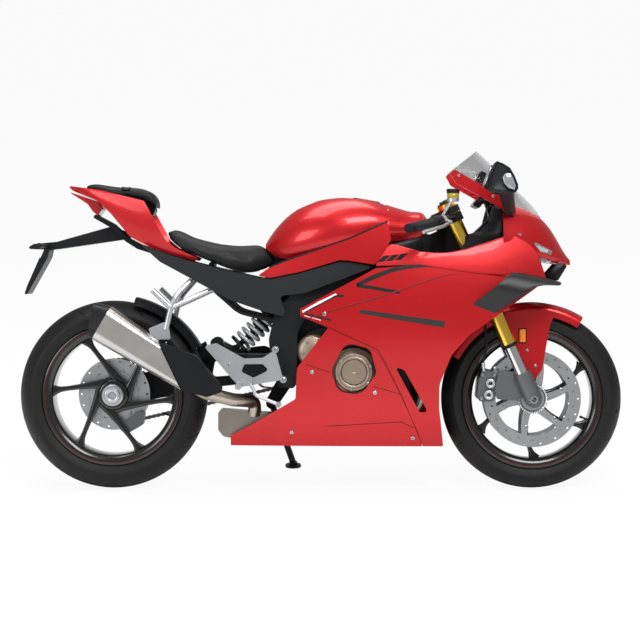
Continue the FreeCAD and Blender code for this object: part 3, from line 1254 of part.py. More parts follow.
def fittings():
    """Foot controls, pegs, hangers, plate holder, lamps and radiator."""
    rearset = slab([(567, 369, 12), (541, 467, 12), (500, 440, 20), (440, 438, 10), (349, 488, 8), (307, 480, 8),
                    (400, 372, 14), (427, 345, 12), (470, 352, 12)], -172, -160)
    rearset = rearset.cut(slab([(440, 420, 8), (500, 420, 8), (520, 400, 8), (470, 375, 8), (430, 395, 8)], -173, -159))
    for x, z in ((567, 369), (541, 467)):
        rearset = rearset.fuse(rod(V(x, -size("spar_inner") - size("spar_thick"), z), V(x, -172, z), 11))
    piece("rearset_plates", both_sides(rearset.removeSplitter()))
    peg = rod(V(424, -172 - GAP, 352), V(424, -262, 352), 11)
    pedal = bent_tube([V(456, -181, 364), V(480, -187, 318), V(552, -190, 290)], 6, 20)
    pedal = pedal.fuse(rod(V(456, -172 - GAP, 364), V(456, -188, 364), 9))
    tip = rod(V(552, -176, 290), V(552, -222, 290), 9)
    pedal = pedal.fuse(tip).removeSplitter()
    lever = bent_tube([V(456, 181, 364), V(484, 190, 326), V(560, 192, 318)], 5, 20)
    lever = lever.fuse(rod(V(456, 172 + GAP, 364), V(456, 187, 364), 9))
    toe = rod(V(560, 186, 318), V(560, 226, 318), 8)
    lever = lever.fuse(toe).removeSplitter()
    piece("foot_controls", Part.makeCompound([pedal, lever, peg, mirrored(peg)]))
    hanger_right = joined([
        bent_tube([V(268, -112, 697), V(215, -158, 640), V(200, -164, 603), V(184, -164, 532)], 9, 60),
        rod(V(268, -112, 697), V(272, -80, 742), 8),
        rod(V(337, -112, 665), V(200, -164, 603), 9),
        rod(V(337, -112, 665), V(334, -80, 712), 8),
        rod(V(200, -164, 603), V(140, -164, 662), 9),
    ])
    hanger_right = one_solid(hanger_right.cut(upright("subframe")))
    tab = slab([(192, 556, 6), (176, 556, 6), (128, 536, 6), (133, 518.2, 3), (158, 500.1, 3), (200, 500, 6)],
               -168, -160)
    silencer_side = one_solid(joined([hanger_right, tab]))
    piece("passenger_hangers", Part.makeCompound([silencer_side, mirrored(hanger_right)]))


def plate_holder():
    """A long tongue under the tail that carries the plate, lamps and reflector."""
    arm = slab([(-5, 872, 10), (-189, 820, 30), (-266, 813, 10), (-283, 803, 4), (-279, 796, 4), (-209, 793, 10),
                (-182, 796, 20), (51, 830, 30), (60, 846, 6)], -30, 30)
    face_low, face_high = V(-283, 0, 676), V(-242.4, 0, 767.4)
    step = (face_high - face_low).cross(SIDEWAYS).normalize() * 3
    plate = slab([(-209, 796, 6), (-216, 766, 10), (-283, 646, 6), (-293, 646, 6), (face_low.x, face_low.z),
                  (face_high.x, face_high.z), (face_high.x - step.x, face_high.z - step.z), (-225.3, 798.8, 6)], -60, 60)
    lights = [rod(V(-225, side * 28, 803), V(-232, side * 150, 806), 9) for side in (-1, 1)]
    piece("plate_holder", joined([arm, plate, *lights]))


def radiator():
    """A curved core in front of the engine."""
    core = slab(bodyside([(1046, 330, 8), (1074, 330, 8), (1104, 640, 8), (1076, 640, 8)]), -165, 165)
    posts = [rod(V(along(1088), side * 36, 636), V(along(1088), side * 36, 764), 6) for side in (-1, 1)]
    piece("radiator", one_solid(joined([core, *posts]).cut(upright("frame"))))


def hugger():
    """A guard close over the rear tyre's front, on the swingarm."""
    radius = size("rear_tyre_radius") + 20
    half = 72
    outline = [(radius, -half * 0.6, 30), (radius - 26, -half), (radius - 26, -half + 3), (radius - 3, -half * 0.57, 30),
               (radius - 3, half * 0.57, 30), (radius - 26, half - 3), (radius - 26, half), (radius, half * 0.6, 30)]
    band = turned(outline, REAR, 48)
    band.rotate(REAR, SIDEWAYS, -77)
    tab = slab([(264, 430, 6), (322, 424, 6), (300, 486, 4), (272, 470, 4)], 66, size("swingarm_inner") - GAP)
    piece("hugger", band.fuse(tab).removeSplitter())


def tail():
    """The lamp at the tail's end and the black tray under the seats."""
    lamp = slab([(-142, 984, 2), (-137, 979, 2), (-84, 945, 6), (-66, 920, 8), (-50, 906, 4), (-34, 928, 8),
                 (-52, 954, 8)], -58, 58)
    tray = slab([(-60, 912, 6), (1, 879, 10), (51, 832, 20), (90, 812, 20), (240, 762, 20), (250, 742, 6),
                 (80, 796, 20), (40, 822, 20), (-10, 868, 10), (-66, 900, 4)], -52, 52)
    tray = joined([tray] + [rod(V(150, 0, 783), V(150, side * 68, 797), 6) for side in (-1, 1)])
    piece("tail_lamp", lamp)
    piece("tail_tray", one_solid(tray.cut(upright("plate_holder")).cut(lamp).cut(upright("subframe"))))


def dash():
    """The display and the stays that carry the nose, the screen and the mirrors from the steering head."""
    panel_form = slab(bodyside([(1190, 940, 6), (1240, 1000, 6), (1262, 990, 6), (1212, 930, 6)]), -78, 78)
    mast = slab(bodyside([(1160, 800, 10), (1250, 900, 20), (1225, 975, 10), (1255, 975, 10), (1290, 890, 20),
                          (1308, 872, 6), (1308, 848, 6), (1262, 842, 20), (1210, 770, 10)]), -14, 14)
    wall = size("fairing_wall") + GAP
    room = hull([(x, half - wall, low + wall, high - wall) for x, half, low, high in NOSE], NOSE_FLANK)
    cross = stay(along(1296), 860, 0, 8, room)
    offset = -size("fork_offset")
    head = fork_rod(0, 400, 760, size("head_tube_radius") + GAP, 0, offset)
    carrier = one_solid(joined([panel_form, mast, *cross]).cut(head).cut(upright("nose_cowl")))
    piece("dash", carrier)


def side_stand():
    """A leg with a foot that lies flat on the floor when the machine leans on it."""
    pivot = V(size("stand_pivot_ahead"), size("stand_pivot_left"), size("stand_pivot_height"))
    foot = V(size("stand_foot_ahead"), size("stand_foot_left"), 0)
    up = STANCE.inverse().Rotation.multVec(V(0, 0, 1))
    foot = foot - up * STANCE.multVec(foot).z
    ear = Part.makeCylinder(17, 14, pivot + STAND_AXIS * GAP, STAND_AXIS)
    hole = Part.makeCylinder(6 + GAP, 40, pivot - STAND_AXIS * 5, STAND_AXIS)
    ankle = foot + up * 14
    leg = rod(pivot + STAND_AXIS * 8, ankle, size("stand_leg_radius"))
    leg = leg.cut(rod(pivot - STAND_AXIS * 30, pivot + STAND_AXIS * GAP, 40))
    sole = Part.makeCylinder(27, 8, foot, up)
    heel = rod(foot + up * 6, ankle + up * 4, 14)
    piece("side_stand", joined([ear, leg, sole, heel]).cut(hole))


wheels()
front_end()
frame_and_subframe()
engine()
swingarm()
rear_brake()
shock()
exhaust()
front_bodywork()
for label, shape in rear_bodywork().items():
    piece(label, shape)
fittings()
plate_holder()
radiator()
hugger()
tail()
dash()
side_stand()

doc.recompute()
faults = [o.Name for o in doc.Objects if {"Invalid", "Error"} & set(o.State)]
for label, thing in pieces.items():
    shape = thing.Shape
    if shape.isNull() or not shape.isValid() or not shape.Solids:
        faults.append(label)
if faults:
    raise RuntimeError("these objects failed: " + ", ".join(faults))
os.makedirs("parts", exist_ok=True)
for label, thing in pieces.items():
    thing.Shape.exportStep(f"parts/{label}.step")
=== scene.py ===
# %% [markdown]
# A road sport motorcycle with a full fairing, parked on its side stand.
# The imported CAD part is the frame: its solids carry the sizes and its bodies carry the motion.
# This lesson dresses it: each finish is a node material, and each new piece is a surface worked out with
# numpy.

import json
import math

import bmesh
import bpy
import numpy as np
from mathutils import Matrix, Vector
from mathutils.bvhtree import BVHTree
from mathutils.geometry import tessellate_polygon


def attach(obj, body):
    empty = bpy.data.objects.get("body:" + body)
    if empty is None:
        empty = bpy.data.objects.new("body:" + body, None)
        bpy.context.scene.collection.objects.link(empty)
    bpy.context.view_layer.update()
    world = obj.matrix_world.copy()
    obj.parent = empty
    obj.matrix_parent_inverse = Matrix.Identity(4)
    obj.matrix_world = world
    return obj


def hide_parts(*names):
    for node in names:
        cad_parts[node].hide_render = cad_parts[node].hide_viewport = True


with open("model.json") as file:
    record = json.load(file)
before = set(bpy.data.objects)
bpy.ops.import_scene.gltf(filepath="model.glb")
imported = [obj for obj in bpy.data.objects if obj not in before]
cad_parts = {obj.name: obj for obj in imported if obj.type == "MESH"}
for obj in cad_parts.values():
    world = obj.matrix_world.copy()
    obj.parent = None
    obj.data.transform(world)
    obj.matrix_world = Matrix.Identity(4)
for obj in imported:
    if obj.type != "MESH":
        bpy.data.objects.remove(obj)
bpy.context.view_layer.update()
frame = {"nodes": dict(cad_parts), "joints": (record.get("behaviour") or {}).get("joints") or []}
NODES = frame["nodes"]
print("nodes:", len(NODES))

# %% [markdown]
# The machine leans on its stand, so its own axes are tilted. Both wheel joints give them: the line between
# the spindles points ahead, and the wheel's axis points across. Pieces are drawn upright in millimetres,
# with X ahead of the rear spindle, Y to the rider's left and Z up from the road, and are then stood beside
# the CAD solids.

# %% The machine's own axes
REAR_TYRE_RADIUS = 312.0
FRONT_TYRE_RADIUS = 300.0
JOINTS = {joint["name"]: joint for joint in frame["joints"]}
REAR_SPINDLE = np.array(JOINTS["rear_wheel_spin"]["pos_m"])
FRONT_SPINDLE = np.array(JOINTS["front_wheel_spin"]["pos_m"])


def unit(vector):
    """A vector divided by its length."""
    return vector / np.linalg.norm(vector)


LEFT = unit(np.array(JOINTS["rear_wheel_spin"]["axis"]))
LEFT = LEFT * np.sign(LEFT[1])
SPAN = FRONT_SPINDLE - REAR_SPINDLE
WHEELBASE = np.linalg.norm(SPAN) * 1000
DROP = math.atan2(REAR_TYRE_RADIUS - FRONT_TYRE_RADIUS, WHEELBASE)
AHEAD = unit(SPAN) * math.cos(DROP) + unit(np.cross(SPAN, LEFT)) * math.sin(DROP)
UP = np.cross(AHEAD, LEFT)
AXES = np.stack([AHEAD, LEFT, UP])
ORIGIN = REAR_SPINDLE - UP * REAR_TYRE_RADIUS / 1000
REAR = np.array([0.0, 0.0, REAR_TYRE_RADIUS])
FRONT = np.array([WHEELBASE, 0.0, FRONT_TYRE_RADIUS])


def stood(points):
    """Points drawn upright in millimetres, as places in metres on the leaning machine."""
    return ORIGIN + np.asarray(points) / 1000 @ AXES


print("wheelbase:", round(WHEELBASE), "mm")

# %% [markdown]
# Most new pieces are grids: a rectangle of points whose rows and columns are joined by quads. One helper
# writes any such grid into a mesh. Rows or columns may close on themselves, and an open end is capped by
# one fan.

# %% Grids become meshes


def grid_faces(rows, columns, loop_rows, loop_columns):
    """The quads between the points of a grid, as one array of indices."""
    row = np.arange(rows if loop_rows else rows - 1)[:, None]
    column = np.arange(columns if loop_columns else columns - 1)[None, :]
    below, beside = (row + 1) % rows, (column + 1) % columns
    quads = np.stack([row * columns + column, row * columns + beside, below * columns + beside,
                      below * columns + column], axis=-1)
    return quads.reshape(-1, 4)


def write_mesh(name, points, faces, smooth=True):
    """A mesh object at the origin from world points and quads; a triangle's fourth corner is -1."""
    mesh = bpy.data.meshes.new(name)
    corners = faces[faces >= 0].astype(np.int32)
    sides = np.sum(faces >= 0, axis=1)
    mesh.vertices.add(len(points))
    mesh.vertices.foreach_set("co", np.asarray(points, dtype=np.float32).ravel())
    mesh.loops.add(len(corners))
    mesh.loops.foreach_set("vertex_index", corners)
    mesh.polygons.add(len(faces))
    mesh.polygons.foreach_set("loop_start", (np.cumsum(sides) - sides).astype(np.int32))
    mesh.update(calc_edges=True)
    mesh.validate()
    if smooth:
        mesh.shade_smooth()
    else:
        mesh.shade_flat()
    piece = bpy.data.objects.new(name, mesh)
    bpy.context.scene.collection.objects.link(piece)
    return piece


def signed_volume(points, faces):
    """Six times the volume that faces enclose; negative where they face inwards."""
    a, b, c = (points[faces[:, i]] for i in range(3))
    d = points[np.where(faces[:, 3] < 0, faces[:, 2], faces[:, 3])]
    return np.sum(np.cross(a, b) * c) + np.sum(np.cross(a, c) * d)


def closed_grid(grid, loop_rows, loop_columns):
    """World points and quads of a closed form: open row ends are capped by folding them to their middle."""
    if not loop_rows:
        row = grid[:1].shape
        first = np.broadcast_to(grid[:1].mean(axis=1, keepdims=True), row)
        last = np.broadcast_to(grid[-1:].mean(axis=1, keepdims=True), row)
        grid = np.concatenate([first, grid, last])
    rows, columns = grid.shape[:2]
    points = stood(grid.reshape(-1, 3))
    faces = grid_faces(rows, columns, loop_rows, loop_columns)
    if signed_volume(points - points.mean(axis=0), faces) < 0:
        faces = faces[:, ::-1]
    return points, faces


def merged(parts):
    """Several (points, faces) as one."""
    points, faces, start = [], [], 0
    for part_points, part_faces in parts:
        points.append(part_points)
        faces.append(np.where(part_faces < 0, -1, part_faces + start))
        start += len(part_points)
    return np.concatenate(points), np.concatenate(faces)


def add_piece(name, parts, finish, body, replaces=(), smooth=True):
    """A new piece with its finish, riding on a body and, where named, standing for CAD nodes."""
    points, faces = merged(parts if isinstance(parts, list) else [parts])
    piece = write_mesh(name, points, faces, smooth)
    piece.data.materials.append(finish)
    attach(piece, body)
    if replaces:
        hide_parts(*replaces)
    return piece


def through(points, share):
    """A smooth curve through rows of points, at shares 0 to 1: cubic pieces with shared slopes."""
    points = np.asarray(points, dtype=float)
    slopes = np.gradient(points, axis=0)
    place = np.clip(np.asarray(share), 0, 1) * (len(points) - 1)
    index = np.minimum(place.astype(int), len(points) - 2)
    t = (place - index)[:, None]
    a, b, da, db = points[index], points[index + 1], slopes[index], slopes[index + 1]
    leaving = (1 + 2 * t) * (1 - t) ** 2 * a + t * (1 - t) ** 2 * da
    return leaving + t * t * (3 - 2 * t) * b - t * t * (1 - t) * db


def smooth_step(low, high, value):
    """0 below low, 1 above high, and a smooth ramp between."""
    t = np.clip((value - low) / (high - low), 0, 1)
    return t * t * (3 - 2 * t)


# %% [markdown]
# Small parts share four forms. A turned part is a profile carried round an axis. A tube is a ring carried
# along a smooth route. A plate is an outline, seen from the side, drawn out across the machine with a narrow
# bevel. A screw is a turned head whose socket is a hexagon by formula. Their points are all worked out as
# arrays.

# %% Turned parts, tubes, plates and screws
ACROSS = (0, 1, 0)


def across_of(axis):
    """A unit axis and two directions at right angles to it."""
    axis = unit(np.asarray(axis, dtype=float))
    other = np.array([0.0, 0.0, 1.0]) if abs(axis[2]) < 0.9 else np.array([1.0, 0.0, 0.0])
    side = unit(np.cross(axis, other))
    return axis, side, np.cross(axis, side)


def turned(profile, centre, axis, steps=48, hollow=False):
    """A profile of (place along the axis, radius) carried round the axis; a hollow one closes on itself."""
    profile = np.asarray(profile, dtype=float)
    axis, side, up = across_of(axis)
    turn = np.linspace(0, 2 * math.pi, steps, endpoint=False)[:, None]
    ring = np.cos(turn) * side + np.sin(turn) * up
    grid = np.asarray(centre) + profile[:, :1, None] * axis + profile[:, 1:, None] * ring[None]
    return closed_grid(grid, hollow, True)


def tube(route, radius, steps=64, sides=12):
    """A round bar along a smooth route: each ring lies across the way, set by the route's flattest plane."""
    line = through(route, np.linspace(0, 1, steps))
    way = np.gradient(line, axis=0)
    way /= np.linalg.norm(way, axis=1, keepdims=True)
    flat = np.linalg.svd(line - line.mean(axis=0), full_matrices=False)[2][2]
    side = np.cross(way, flat)
    side /= np.linalg.norm(side, axis=1, keepdims=True)
    up = np.cross(way, side)
    turn = np.linspace(0, 2 * math.pi, sides, endpoint=False)[None, :, None]
    thick = np.broadcast_to(radius, (steps,))[:, None, None]
    grid = line[:, None] + thick * (np.cos(turn) * side[:, None] + np.sin(turn) * up[:, None])
    return closed_grid(grid, False, True)


def plate(outline, low, high, bevel=0.8):
    """A flat plate from low to high across the machine: bevelled walls round its outline, and two faces."""
    edge = np.asarray(outline, dtype=float)
    run = np.roll(edge, -1, axis=0) - np.roll(edge, 1, axis=0)
    out = np.column_stack([run[:, 1], -run[:, 0]]) / np.linalg.norm(run, axis=1, keepdims=True)
    area = np.sum(edge[:, 0] * np.roll(edge[:, 1], -1) - np.roll(edge[:, 0], -1) * edge[:, 1])
    small = edge - out * bevel * np.sign(area)
    rings = ((small, low), (edge, low + bevel), (edge, high - bevel), (small, high))
    grid = np.stack([np.column_stack([ring[:, 0], np.full(len(ring), y), ring[:, 1]]) for ring, y in rings])
    walls = grid_faces(4, len(edge), False, True)
    lid = np.array(tessellate_polygon([[Vector((*p, 0)) for p in small]]))
    a, b, c = (small[lid[:, i]] for i in range(3))
    turn = (b[:, 0] - a[:, 0]) * (c[:, 1] - a[:, 1]) - (b[:, 1] - a[:, 1]) * (c[:, 0] - a[:, 0])
    lid = np.where((turn * area < 0)[:, None], lid[:, ::-1], lid)
    none = np.full((len(lid), 1), -1)
    faces = np.concatenate([walls, np.hstack([lid[:, ::-1], none]), np.hstack([lid + 3 * len(edge), none])])
    points = stood(grid.reshape(-1, 3))
    if signed_volume(points - points.mean(axis=0), faces) < 0:
        faces = np.where(faces[:, 3:] < 0, faces[:, [2, 1, 0, 3]], faces[:, ::-1])
    return points, faces


def screw(place, axis, radius, height=0.0, socket=0.52):
    """A round-headed screw standing on its place: rings up over the head, and down a six-sided socket."""
    height = height or radius * 0.75
    axis, side, up = across_of(axis)
    turn = np.linspace(0, 2 * math.pi, 24, endpoint=False)
    key = socket * radius * math.cos(math.pi / 6) / np.cos(turn % (math.pi / 3) - math.pi / 6)
    head = ((-1.0, radius), (height * 0.55, radius), (height * 0.88, radius * 0.9), (height, radius * 0.74))
    rings = [np.full(24, r) for _, r in head] + [key, key, key * 0.05]
    level = np.array([h for h, _ in head] + [height, height * 0.3, height * 0.25])
    ring = np.cos(turn)[:, None] * side + np.sin(turn)[:, None] * up
    grid = np.asarray(place) + level[:, None, None] * axis + np.stack(rings)[:, :, None] * ring[None]
    return closed_grid(grid, False, True)


def spaced(count, radius, centre, y, start=0.0):
    """Places evenly round a circle that lies across the wheel's axis."""
    turn = np.radians(start) + np.arange(count) * 2 * math.pi / count
    ahead = centre[0] + radius * np.cos(turn)
    return np.column_stack([ahead, np.full(count, y), centre[2] + radius * np.sin(turn)])


def both(make):
    """The same part made for the rider's right (-1) and left (1)."""
    return [make(side) for side in (-1, 1)]


def side_plate(outline, near, far, side, bevel):
    """A plate on one side, between two distances from the machine's middle."""
    return plate(outline, *sorted((side * near, side * far)), bevel)


# %% [markdown]
# Paint lines, seams and screws sit on the skin, and the skin is the CAD's. Lines sent in from the side find
# it: each gives the place where it first meets the named panels, and the panel's slope there. A strip is
# then a thin band whose every point is found that way, so that it follows the panel's curve.

# %% Bands and screws on the skin
FAR_SIDE = 700.0


def upright(points):
    """Places in metres on the leaning machine, as points drawn upright in millimetres."""
    return (np.asarray(points) - ORIGIN) @ AXES.T * 1000


TREES = {}


def tree_of(nodes):
    """A tree for finding where lines meet the faces of the named CAD nodes, made once."""
    if nodes not in TREES:
        points, faces, start = [], [], 0
        for name in nodes:
            mesh = NODES[name].data
            points += [vertex.co.copy() for vertex in mesh.vertices]
            faces += [[start + i for i in face.vertices] for face in mesh.polygons]
            start = len(points)
        TREES[nodes] = BVHTree.FromPolygons(points, faces)
    return TREES[nodes]


def on_skin(places, nodes, side=-1):
    """For each (ahead, up): where a line from that side first meets the nodes, and the slope there."""
    tree = tree_of(nodes)
    places = np.asarray(places, dtype=float)
    starts = stood(np.column_stack([places[:, 0], np.full(len(places), side * FAR_SIDE), places[:, 1]]))
    hits = [tree.ray_cast(Vector(start), Vector(-side * LEFT)) for start in starts]
    found = np.array([hit[0] is not None for hit in hits])
    points = np.array([hit[0] if hit[0] is not None else (0, 0, 0) for hit in hits])
    slopes = np.array([hit[1] if hit[1] is not None else side * LEFT for hit in hits]) @ AXES.T
    points = upright(points)
    index = np.arange(len(places))
    across = np.interp(index, index[found], points[found, 1])
    slopes *= np.sign(slopes[:, 1:2]) * side
    return np.column_stack([places[:, 0], across, places[:, 1]]), slopes


def run_along(route, share):
    """Places at shares of the whole length of straight runs."""
    route = np.asarray(route, dtype=float)
    reach = np.concatenate([[0], np.cumsum(np.linalg.norm(np.diff(route, axis=0), axis=1))])
    return np.column_stack([np.interp(np.asarray(share) * reach[-1], reach, column) for column in route.T])


def strip(route, widths, nodes, side=-1, lift=0.4, steps=48, curved=False, deep=1.2):
    """A thin band on the skin: a route seen from the side, with a width that changes along it."""
    share = np.linspace(0, 1, steps)
    middle = through(route, share) if curved else run_along(route, share)
    half = np.interp(share, np.linspace(0, 1, len(widths)), widths) / 2
    way = np.gradient(middle, axis=0)
    way /= np.linalg.norm(way, axis=1, keepdims=True)
    spread = np.array([-1.0, -0.34, 0.34, 1.0])[None, :, None] * half[:, None, None]
    places = middle[:, None] + spread * np.column_stack([-way[:, 1], way[:, 0]])[:, None]
    points, slopes = on_skin(places.reshape(-1, 2), nodes, side)
    top = (points + slopes * lift).reshape(steps, 4, 3)
    under = (points - slopes * deep).reshape(steps, 4, 3)
    return closed_grid(np.concatenate([top, under[:, ::-1]], axis=1), False, True)


def skin_screws(places, nodes, radius, side=-1):
    """Screws whose heads stand on the skin."""
    points, slopes = on_skin(places, nodes, side)
    return [screw(point, slope, radius) for point, slope in zip(points, slopes)]


def screws_both(places, nodes, radius):
    """Screws on the skin, on both sides."""
    return [one for side in (-1, 1) for one in skin_screws(places, nodes, radius, side)]


# %% [markdown]
# Finishes share a few effects. Each effect is a node group with named sockets, built once: the machine's own
# axes for patterns that follow it, a moulded grain, and the uneven gloss that hands and cloths leave.

# %% Node groups


def new_group(name, inputs, outputs):
    """A node group with typed sockets, and its input and output nodes."""
    group = bpy.data.node_groups.new(name, "ShaderNodeTree")
    for label, kind, default in inputs:
        socket = group.interface.new_socket(label, in_out="INPUT", socket_type=kind)
        if default is not None:
            socket.default_value = default
    for label, kind in outputs:
        group.interface.new_socket(label, in_out="OUTPUT", socket_type=kind)
    return group, group.nodes.new("NodeGroupInput"), group.nodes.new("NodeGroupOutput")


def add_node(tree, kind, inputs=None, **settings):
    """A node with its settings, and inputs that are values or sockets of other nodes."""
    node = tree.nodes.new(kind)
    for key, value in settings.items():
        setattr(node, key, value)
    for key, value in (inputs or {}).items():
        if isinstance(value, bpy.types.NodeSocket):
            tree.links.new(value, node.inputs[key])
        else:
            node.inputs[key].default_value = value
    return node


def maths(tree, kind, *values, clamp=False):
    """One Math node's result."""
    node = add_node(tree, "ShaderNodeMath", dict(enumerate(values)), operation=kind, use_clamp=clamp)
    return node.outputs[0]


FLOAT, VECTOR = "NodeSocketFloat", "NodeSocketVector"


def machine_axes():
    """Object coordinates in the machine's own axes, in metres from the road under the rear spindle."""
    group, _, end = new_group("machine_axes", [], [("Place", VECTOR)])
    coordinates = add_node(group, "ShaderNodeTexCoord")
    turn = Matrix(AXES.tolist()).transposed().to_euler()
    mapping = add_node(group, "ShaderNodeMapping",
                       {"Vector": coordinates.outputs["Object"], "Location": ORIGIN, "Rotation": turn},
                       vector_type="TEXTURE")
    group.links.new(mapping.outputs[0], end.inputs["Place"])
    return group


def moulded_grain():
    """A fine pebbled height for moulded plastic and cast metal."""
    group, start, end = new_group("moulded_grain", [("Place", VECTOR, None), ("Scale", FLOAT, 900.0)],
                                  [("Height", FLOAT), ("Tone", FLOAT)])
    place = start.outputs["Place"]
    fine = add_node(group, "ShaderNodeTexVoronoi", {"Vector": place, "Scale": start.outputs["Scale"]})
    broad = add_node(group, "ShaderNodeTexNoise", {"Vector": place, "Scale": 14.0, "Detail": 4.0})
    group.links.new(fine.outputs["Distance"], end.inputs["Height"])
    group.links.new(broad.outputs["Fac"], end.inputs["Tone"])
    return group


def handled_gloss():
    """A roughness that wanders around its middle in broad patches with fine detail."""
    inputs = [("Place", VECTOR, None), ("Middle", FLOAT, 0.4), ("Spread", FLOAT, 0.1)]
    group, start, end = new_group("handled_gloss", inputs, [("Roughness", FLOAT)])
    patches = add_node(group, "ShaderNodeTexNoise",
                       {"Vector": start.outputs["Place"], "Scale": 9.0, "Detail": 6.0, "Roughness": 0.65})
    away = maths(group, "SUBTRACT", patches.outputs["Fac"], 0.5)
    swing = maths(group, "MULTIPLY", away, start.outputs["Spread"])
    rough = maths(group, "ADD", start.outputs["Middle"], swing, clamp=True)
    group.links.new(rough, end.inputs["Roughness"])
    return group


GROUPS = {make.__name__: make() for make in (machine_axes, moulded_grain, handled_gloss)}
print("node groups:", ", ".join(GROUPS))

# %% [markdown]
# A finish starts the same way each time: one Principled shader whose gloss wanders a little, over a grain
# that is as strong as the real surface's. What differs is its colour, metal, clear coat and grain.

# %% A finish from shared effects


def use_group(tree, name, **inputs):
    """A shared effect placed in a material."""
    return add_node(tree, "ShaderNodeGroup", {key.replace("_", " "): value for key, value in inputs.items()},
                    node_tree=GROUPS[name])


def new_finish(name, colour, gloss, spread=0.08, metal=0.0, grain=0.0, grain_scale=900.0, tone=0.12,
               **shader_values):
    """A material with a wandering gloss, a tone that drifts and, where grain is not 0, a bumped surface."""
    finish = bpy.data.materials.new(name)
    finish.use_nodes = True
    tree = finish.node_tree
    shader = tree.nodes["Principled BSDF"]
    place = use_group(tree, "machine_axes").outputs["Place"]
    pebbles = use_group(tree, "moulded_grain", Place=place, Scale=grain_scale)
    shade = add_node(tree, "ShaderNodeMix", {"Factor": pebbles.outputs["Tone"]}, data_type="RGBA")
    shade.inputs["A"].default_value = (*[c * (1 - tone) for c in colour], 1)
    shade.inputs["B"].default_value = (*[min(c * (1 + tone), 1) for c in colour], 1)
    tree.links.new(shade.outputs["Result"], shader.inputs["Base Color"])
    shine = use_group(tree, "handled_gloss", Place=place, Middle=gloss, Spread=spread)
    tree.links.new(shine.outputs["Roughness"], shader.inputs["Roughness"])
    shader.inputs["Metallic"].default_value = metal
    if grain > 0:
        bump = add_node(tree, "ShaderNodeBump", {"Height": pebbles.outputs["Height"], "Strength": grain,
                                                 "Distance": 0.0004})
        tree.links.new(bump.outputs[0], shader.inputs["Normal"])
    for key, value in shader_values.items():
        shader.inputs[key.replace("_", " ")].default_value = value
    return finish


# %% [markdown]
# The bodywork is candy red: a metallic base under deep clear lacquer, so it glows lighter where it faces
# the light and goes dark at grazing angles. The rest is mostly satin black plastic, cast metal and rubber.

# %% The finishes
RED = (0.5, 0.003, 0.007)
DULL = {"Specular_IOR_Level": 0.22}
candy_red = new_finish("candy_red", RED, 0.34, 0.05, metal=0.5, tone=0.05, Coat_Weight=0.35,
                       Coat_Roughness=0.06)
satin_black = new_finish("satin_black", (0.007, 0.0075, 0.0085), 0.38, grain=0.2, **DULL)
dark_grey = new_finish("dark_grey_plastic", (0.016, 0.0175, 0.02), 0.46, grain=0.3, **DULL)
black_paint = new_finish("black_paint", (0.006, 0.006, 0.007), 0.3, Coat_Weight=0.5)
wing_black = new_finish("wing_black", (0.012, 0.012, 0.013), 0.42, grain=0.15, Specular_IOR_Level=0.35)
grey_paint = new_finish("grey_black_paint", (0.02, 0.016, 0.017), 0.34, Coat_Weight=0.5)
white_paint = new_finish("white_paint", (0.82, 0.82, 0.82), 0.3, Coat_Weight=0.5)
# A dark red for the rims' pin lines, also used as painted shade under the side panel's raised layer edge.
pinstripe_and_painted_shade = new_finish("pinstripe_red_and_painted_shade", (0.2, 0.002, 0.004), 0.4, metal=0.3)
# Plain black for the seams, valves and backings, and also painted shade in the louvres' openings.
black_and_painted_shade = new_finish("black_and_painted_shade", (0.004, 0.004, 0.004), 0.6, **DULL)
frame_black = new_finish("frame_black", (0.011, 0.0115, 0.013), 0.34, grain=0.2, grain_scale=500.0, **DULL)
rubber = new_finish("tyre_rubber", (0.009, 0.009, 0.0095), 0.5, grain=0.3, grain_scale=1500.0, **DULL)
hose_rubber = new_finish("hose_rubber", (0.008, 0.008, 0.008), 0.45, **DULL)
grip_rubber = new_finish("grip_rubber", (0.014, 0.0145, 0.016), 0.55, grain=0.4, grain_scale=350.0, **DULL)
leather = new_finish("seat_cover", (0.009, 0.0093, 0.01), 0.5, grain=0.7, grain_scale=420.0, **DULL)
wheel_black = new_finish("wheel_black", (0.006, 0.006, 0.0065), 0.22, Coat_Weight=0.35)
screw_steel = new_finish("screw_steel", (0.5, 0.5, 0.52), 0.28, metal=1.0)
mirror_silver = new_finish("mirror_silver", (0.86, 0.88, 0.9), 0.03, 0.01, metal=1.0, tone=0.01)
indicator_clear = new_finish("indicator_clear", (0.3, 0.31, 0.32), 0.16, metal=0.35, grain=0.9,
                             grain_scale=160.0, Coat_Weight=1.0)
dash_screen = new_finish("dash_screen", (0.006, 0.008, 0.012), 0.08, Coat_Weight=1.0)
amber_fluid = new_finish("amber_fluid", (0.42, 0.3, 0.02), 0.12, Coat_Weight=0.8, Transmission_Weight=0.25)
amber_lens = new_finish("amber_lens", (0.95, 0.28, 0.01), 0.15, grain=0.8, grain_scale=240.0, Coat_Weight=1.0)
gold = new_finish("gold_anodised", (0.95, 0.62, 0.09), 0.22, 0.05, metal=1.0, tone=0.05)
chrome = new_finish("hard_chrome", (0.75, 0.76, 0.78), 0.08, 0.03, metal=1.0, tone=0.03)
cast_grey = new_finish("cast_grey", (0.13, 0.135, 0.14), 0.42, metal=0.6, grain=0.5, grain_scale=500.0)
bright_alloy = new_finish("bright_alloy", (0.55, 0.56, 0.58), 0.34, metal=0.9, grain=0.25, grain_scale=600.0)
brushed_steel = new_finish("brushed_steel", (0.55, 0.54, 0.52), 0.33, 0.12, metal=1.0, grain=0.15)
pipe_steel = new_finish("pipe_steel", (0.42, 0.38, 0.33), 0.3, 0.2, metal=1.0)
disc_steel = new_finish("disc_steel", (0.55, 0.56, 0.57), 0.3, 0.1, metal=1.0)
bronze = new_finish("bronze_covers", (0.34, 0.27, 0.205), 0.38, metal=0.75, grain=0.3, grain_scale=600.0)
engine_grey = new_finish("engine_black", (0.02, 0.021, 0.022), 0.45, metal=0.3, grain=0.5, grain_scale=350.0)
spring_grey = new_finish("spring_grey", (0.46, 0.47, 0.5), 0.3, metal=0.2, Coat_Weight=0.4)
